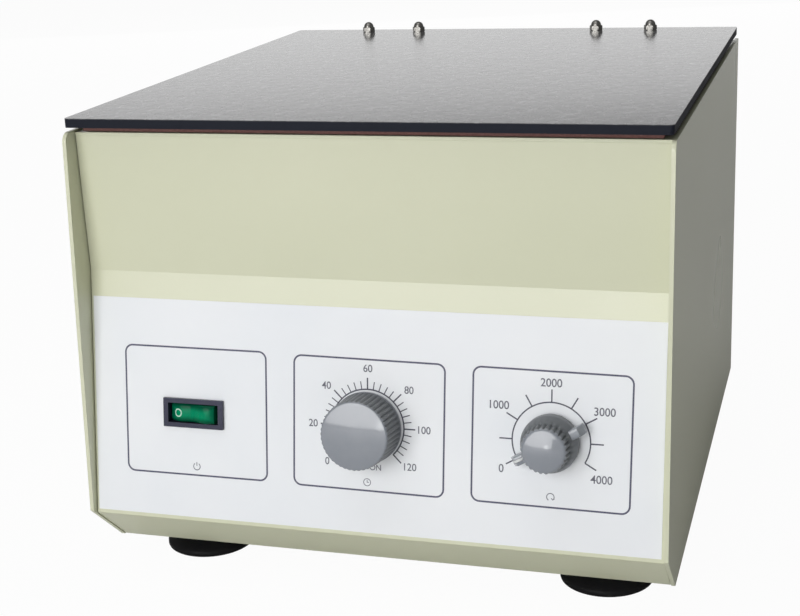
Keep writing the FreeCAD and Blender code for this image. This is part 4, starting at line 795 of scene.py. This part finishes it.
def stroke(shape, points, width, closed=False):
    """Flat strip of even width along a line of points, mitred at its bends."""
    count = len(points)
    pairs = []
    for index, point in enumerate(points):
        before = points[index - 1] if index or closed else point
        after = points[(index + 1) % count] if index < count - 1 or closed else point
        one = Vector(point) - Vector(before)
        two = Vector(after) - Vector(point)
        one = one.normalized() if one.length else two.normalized()
        two = two.normalized() if two.length else one
        side = Vector((-(one.y + two.y), one.x + two.x)).normalized()
        reach = width / 2 / max(side.dot(Vector((-one.y, one.x))), 0.3)
        pairs.append([shape.verts.new((*(Vector(point) + side * reach * sign), 0))
                      for sign in (1, -1)])
    for index in range(count if closed else count - 1):
        one, two = pairs[index], pairs[(index + 1) % count]
        shape.faces.new((one[0], one[1], two[1], two[0]))


def dial_point(centre, degrees, radius):
    """Point of a dial, with degrees clockwise from its top."""
    angle = math.radians(degrees)
    return centre[0] + radius * math.sin(angle), centre[1] + radius * math.cos(angle)


def dial_arc(centre, start, end, radius, steps=72):
    return [dial_point(centre, start + (end - start) * index / steps, radius)
            for index in range(steps + 1)]


def letters(shape, text, centre, height):
    """Flat characters with their middle on a spot of the panel."""
    curve = bpy.data.curves.new("characters", "FONT")
    curve.body = text
    curve.align_x = "CENTER"
    curve.align_y = "CENTER"
    curve.size = height / CAPITAL
    curve.offset = BOLD * height
    holder = bpy.data.objects.new("characters", curve)
    bpy.context.scene.collection.objects.link(holder)
    flat = bpy.data.meshes.new_from_object(holder)
    flat.transform(Matrix.Translation((*centre, 0)) @ Matrix.Diagonal((NARROW, 1, 1, 1)))
    shape.from_mesh(flat)
    bpy.data.meshes.remove(flat)
    bpy.data.objects.remove(holder)
    bpy.data.curves.remove(curve)


def lay_ink(name, shape, finish):
    """Gives flat ink its thickness and lays it on the film."""
    mesh = bpy.data.meshes.new(name)
    shape.to_mesh(mesh)
    shape.free()
    piece = add_piece(name, mesh, finish, "case",
                      panel_matrix(0, 0, LABEL_SHEET + INK_THICK))
    thicken(piece, INK_THICK)


def frames():
    shape = bmesh.new()
    for left, right, bottom, top, turn in FRAMES:
        wide, tall = (right - left) * MM / 2, (top - bottom) * MM / 2
        points = []
        for x, y, start in ((wide, tall, 0), (-wide, tall, 90), (-wide, -tall, 180),
                            (wide, -tall, 270)):
            centre = (math.copysign(wide - FRAME_CORNER, x), math.copysign(tall - FRAME_CORNER, y))
            points += arc(centre, FRAME_CORNER, start, start + 90, 8)
        middle = Vector(((left + right) * MM / 2, (top + bottom) * MM / 2))
        rotated = Matrix.Rotation(math.radians(turn), 2)
        outline = [middle + rotated @ Vector(point) for point in points]
        stroke(shape, outline, FRAME_LINE, closed=True)
    lay_ink("frame_lines", shape, ink("frame_ink", (0.045, 0.044, 0.095)))


def dial_numbers(shape, centre, table, height):
    for text, across, up in table:
        size = height * (0.8 if text == "ON" else 1.0)
        letters(shape, text, (centre[0] + across * MM, centre[1] + up * MM), size)


def tick(lines, middle, degrees, start, end, width=DIAL_LINE):
    """A dial's mark, from one radius to another."""
    stroke(lines, [dial_point(middle, degrees, start), dial_point(middle, degrees, end)], width)


def time_dial(lines, numbers):
    """Arc with 31 marks, of which every fifth is longer and bolder."""
    arc_radius, major, minor = 18.05 * MM, 23.6 * MM, 22.0 * MM
    middle = (TIMER_SPOT[0] + 0.25 * MM, TIMER_SPOT[1] + 0.25 * MM)
    stroke(lines, dial_arc(middle, -135, 135, arc_radius), DIAL_LINE)
    for index in range(31):
        reach = minor if index % 5 else major
        width = DIAL_LINE * (0.75 if index % 5 else 1.0)
        tick(lines, middle, -135 + 9 * index, arc_radius, reach, width)
    dial_numbers(numbers, TIMER_SPOT, TIME_NUMBERS, 3.7 * MM)


def speed_dial(lines, numbers):
    """Arc with nine even marks."""
    arc_radius, reach = 18.25 * MM, 24.3 * MM
    middle = (SPEED_SPOT[0] - 0.1 * MM, SPEED_SPOT[1] + 0.25 * MM)
    stroke(lines, dial_arc(middle, -120, 120, arc_radius), DIAL_LINE)
    for index in range(9):
        tick(lines, middle, -120 + 30 * index, arc_radius, reach)
    dial_numbers(numbers, SPEED_SPOT, SPEED_NUMBERS, 4.0 * MM)


def pictograms(lines):
    """Plain signs for power, time and speed, under the three controls."""
    size, barb, up = 1.75 * MM, 1.1 * MM, 27.0 * MM
    bold, medium, thin, fine = 0.42 * MM, 0.4 * MM, 0.38 * MM, 0.36 * MM
    x, y = (FRAMES[0][0] + FRAMES[0][1]) * MM / 2, up + 1.0 * MM
    stroke(lines, dial_arc((x, y), 35, 325, size, 24), bold)
    stroke(lines, [(x, y + 0.3 * MM), (x, y + 2.2 * MM)], bold)
    x, y = TIMER_SPOT[0], up
    stroke(lines, dial_arc((x, y), 0, 360, size, 24), thin)
    stroke(lines, [(x, y + 1.1 * MM), (x, y), (x + 0.9 * MM, y)], fine)
    x, y = SPEED_SPOT[0], up
    stroke(lines, dial_arc((x, y), -150, 120, size, 24), bold)
    tip = dial_point((x, y), 140, size)
    for degrees in (40, 130):
        turn = math.radians(degrees)
        end = tip[0] + barb * math.cos(turn), tip[1] + barb * math.sin(turn)
        stroke(lines, [tip, end], medium)


def printing():
    lines, numbers = bmesh.new(), bmesh.new()
    frames()
    time_dial(lines, numbers)
    speed_dial(lines, numbers)
    pictograms(numbers)
    lay_ink("dial_lines", lines, ink("dial_ink", (0.035, 0.035, 0.060)))
    lay_ink("dial_numbers", numbers, ink("number_ink", (0.135, 0.135, 0.168)))


# Stage, lamps and camera

EYE = Vector((0.2172, PANEL_FOOT.y - 0.62606, 0.3576))
YAW, PITCH, ROLL = math.radians(17.26), math.radians(-17.197), math.radians(-2.58)
SENSOR, FRAME_WIDE, FOCAL_PX = 36.0, 800, 1511.57
FLOOR_HALF = 6
FLOOR_GAP = 0.05 * MM
# How nearly white the camera sees the floor, and the strength of the light all round.
FLOOR_WHITE = 0.96
AMBIENT = 0.17
# Name, place, target, size in metres, watts, and whether shiny faces show the lamp.
LAMPS = (
    ("key", (-0.56, -2.34, 0.78), (0, -0.15, 0.12), (1.36, 1.5), 33, True),
    ("glint", (-0.20, -2.45, 0.13), (0, -0.17, 0.1), (0.18, 0.18), 0.5, True),
    ("fill", (0.05, -2.30, 0.90), (0.02, -0.15, 0.12), (1.6, 1.2), 5.4, False),
    ("top", (-0.35, -0.45, 2.3), (-0.02, -0.1, 0.15), (1.4, 1.4), 10.5, True),
    ("behind", (-0.75, 2.20, 0.34), (-0.05, 0.1, 0.24), (3.4, 0.72), 6.1, True),
    ("rear", (-0.45, 2.30, 1.0), (0, 0.18, 0.12), (1.4, 1.2), 7, False),
)


def camera():
    ahead = Vector((-math.sin(YAW) * math.cos(PITCH), math.cos(YAW) * math.cos(PITCH),
                    math.sin(PITCH)))
    right = Vector((math.cos(YAW), math.sin(YAW), 0))
    up = right.cross(ahead)
    x = right * math.cos(ROLL) + up * math.sin(ROLL)
    y = up * math.cos(ROLL) - right * math.sin(ROLL)
    lens = bpy.data.cameras.new("camera")
    lens.sensor_width = SENSOR
    lens.lens = FOCAL_PX * SENSOR / FRAME_WIDE
    lens.clip_start, lens.clip_end = 0.05, 50
    seat = bpy.data.objects.new("camera", lens)
    seat.matrix_world = Matrix.Translation(EYE) @ Matrix((x, y, -ahead)).transposed().to_4x4()
    bpy.context.scene.collection.objects.link(seat)
    bpy.context.scene.camera = seat


def lamp(name, spot, target, size, watts, mirrored):
    """Rectangular lamp; one that isn't mirrored lights the object without a highlight."""
    light = bpy.data.lights.new(name, "AREA")
    light.shape = "RECTANGLE"
    light.size, light.size_y = size
    light.energy = watts
    holder = bpy.data.objects.new(name, light)
    aim = (Vector(target) - Vector(spot)).to_track_quat("-Z", "Y").to_matrix().to_4x4()
    holder.matrix_world = Matrix.Translation(spot) @ aim
    holder.visible_glossy = mirrored
    bpy.context.scene.collection.objects.link(holder)


def floor():
    """Pale floor that the camera sees nearly white, with the object's soft shadow on it."""
    shape = bmesh.new()
    bmesh.ops.create_grid(shape, x_segments=1, y_segments=1, size=FLOOR_HALF)
    mesh = bpy.data.meshes.new("floor")
    shape.to_mesh(mesh)
    shape.free()
    ground = bpy.data.objects.new("floor", mesh)
    ground.location.z = -FLOOR_GAP
    bpy.context.scene.collection.objects.link(ground)
    finish = Finish("pale_floor", Base_Color=(0.78, 0.78, 0.78), Roughness=0.9,
                    Specular_IOR_Level=0.1)
    white = finish.node("ShaderNodeEmission", None, {"Color": (1, 1, 1, 1), "Strength": 1.0})
    seen = finish.node("ShaderNodeLightPath", output="Is Camera Ray")
    paint = Wire(finish, finish.shader.outputs[0])
    blend = finish.node("ShaderNodeMixShader", None, {0: seen * FLOOR_WHITE, 1: paint, 2: white})
    finish.plug(finish.tree.nodes["Material Output"].inputs["Surface"], blend)
    mesh.materials.append(finish.material)


def surroundings():
    """Even dim light all round, white where the camera looks straight at it."""
    world = bpy.data.worlds.new("surroundings")
    world.use_nodes = True
    tree = world.node_tree
    back = tree.nodes["Background"]
    path = tree.nodes.new("ShaderNodeLightPath")
    level = tree.nodes.new("ShaderNodeMapRange")
    level.inputs["To Min"].default_value = AMBIENT
    level.inputs["To Max"].default_value = 1.0
    tree.links.new(path.outputs["Is Camera Ray"], level.inputs["Value"])
    tree.links.new(level.outputs[0], back.inputs["Strength"])
    back.inputs["Color"].default_value = (1, 1, 1, 1)
    bpy.context.scene.world = world


dress_nodes()
timer_knob()
speed_knob()
rocker()
dome_nuts()
printing()
camera()
floor()
surroundings()
for row in LAMPS:
    lamp(*row)
bpy.context.scene.view_settings.view_transform = "Standard"
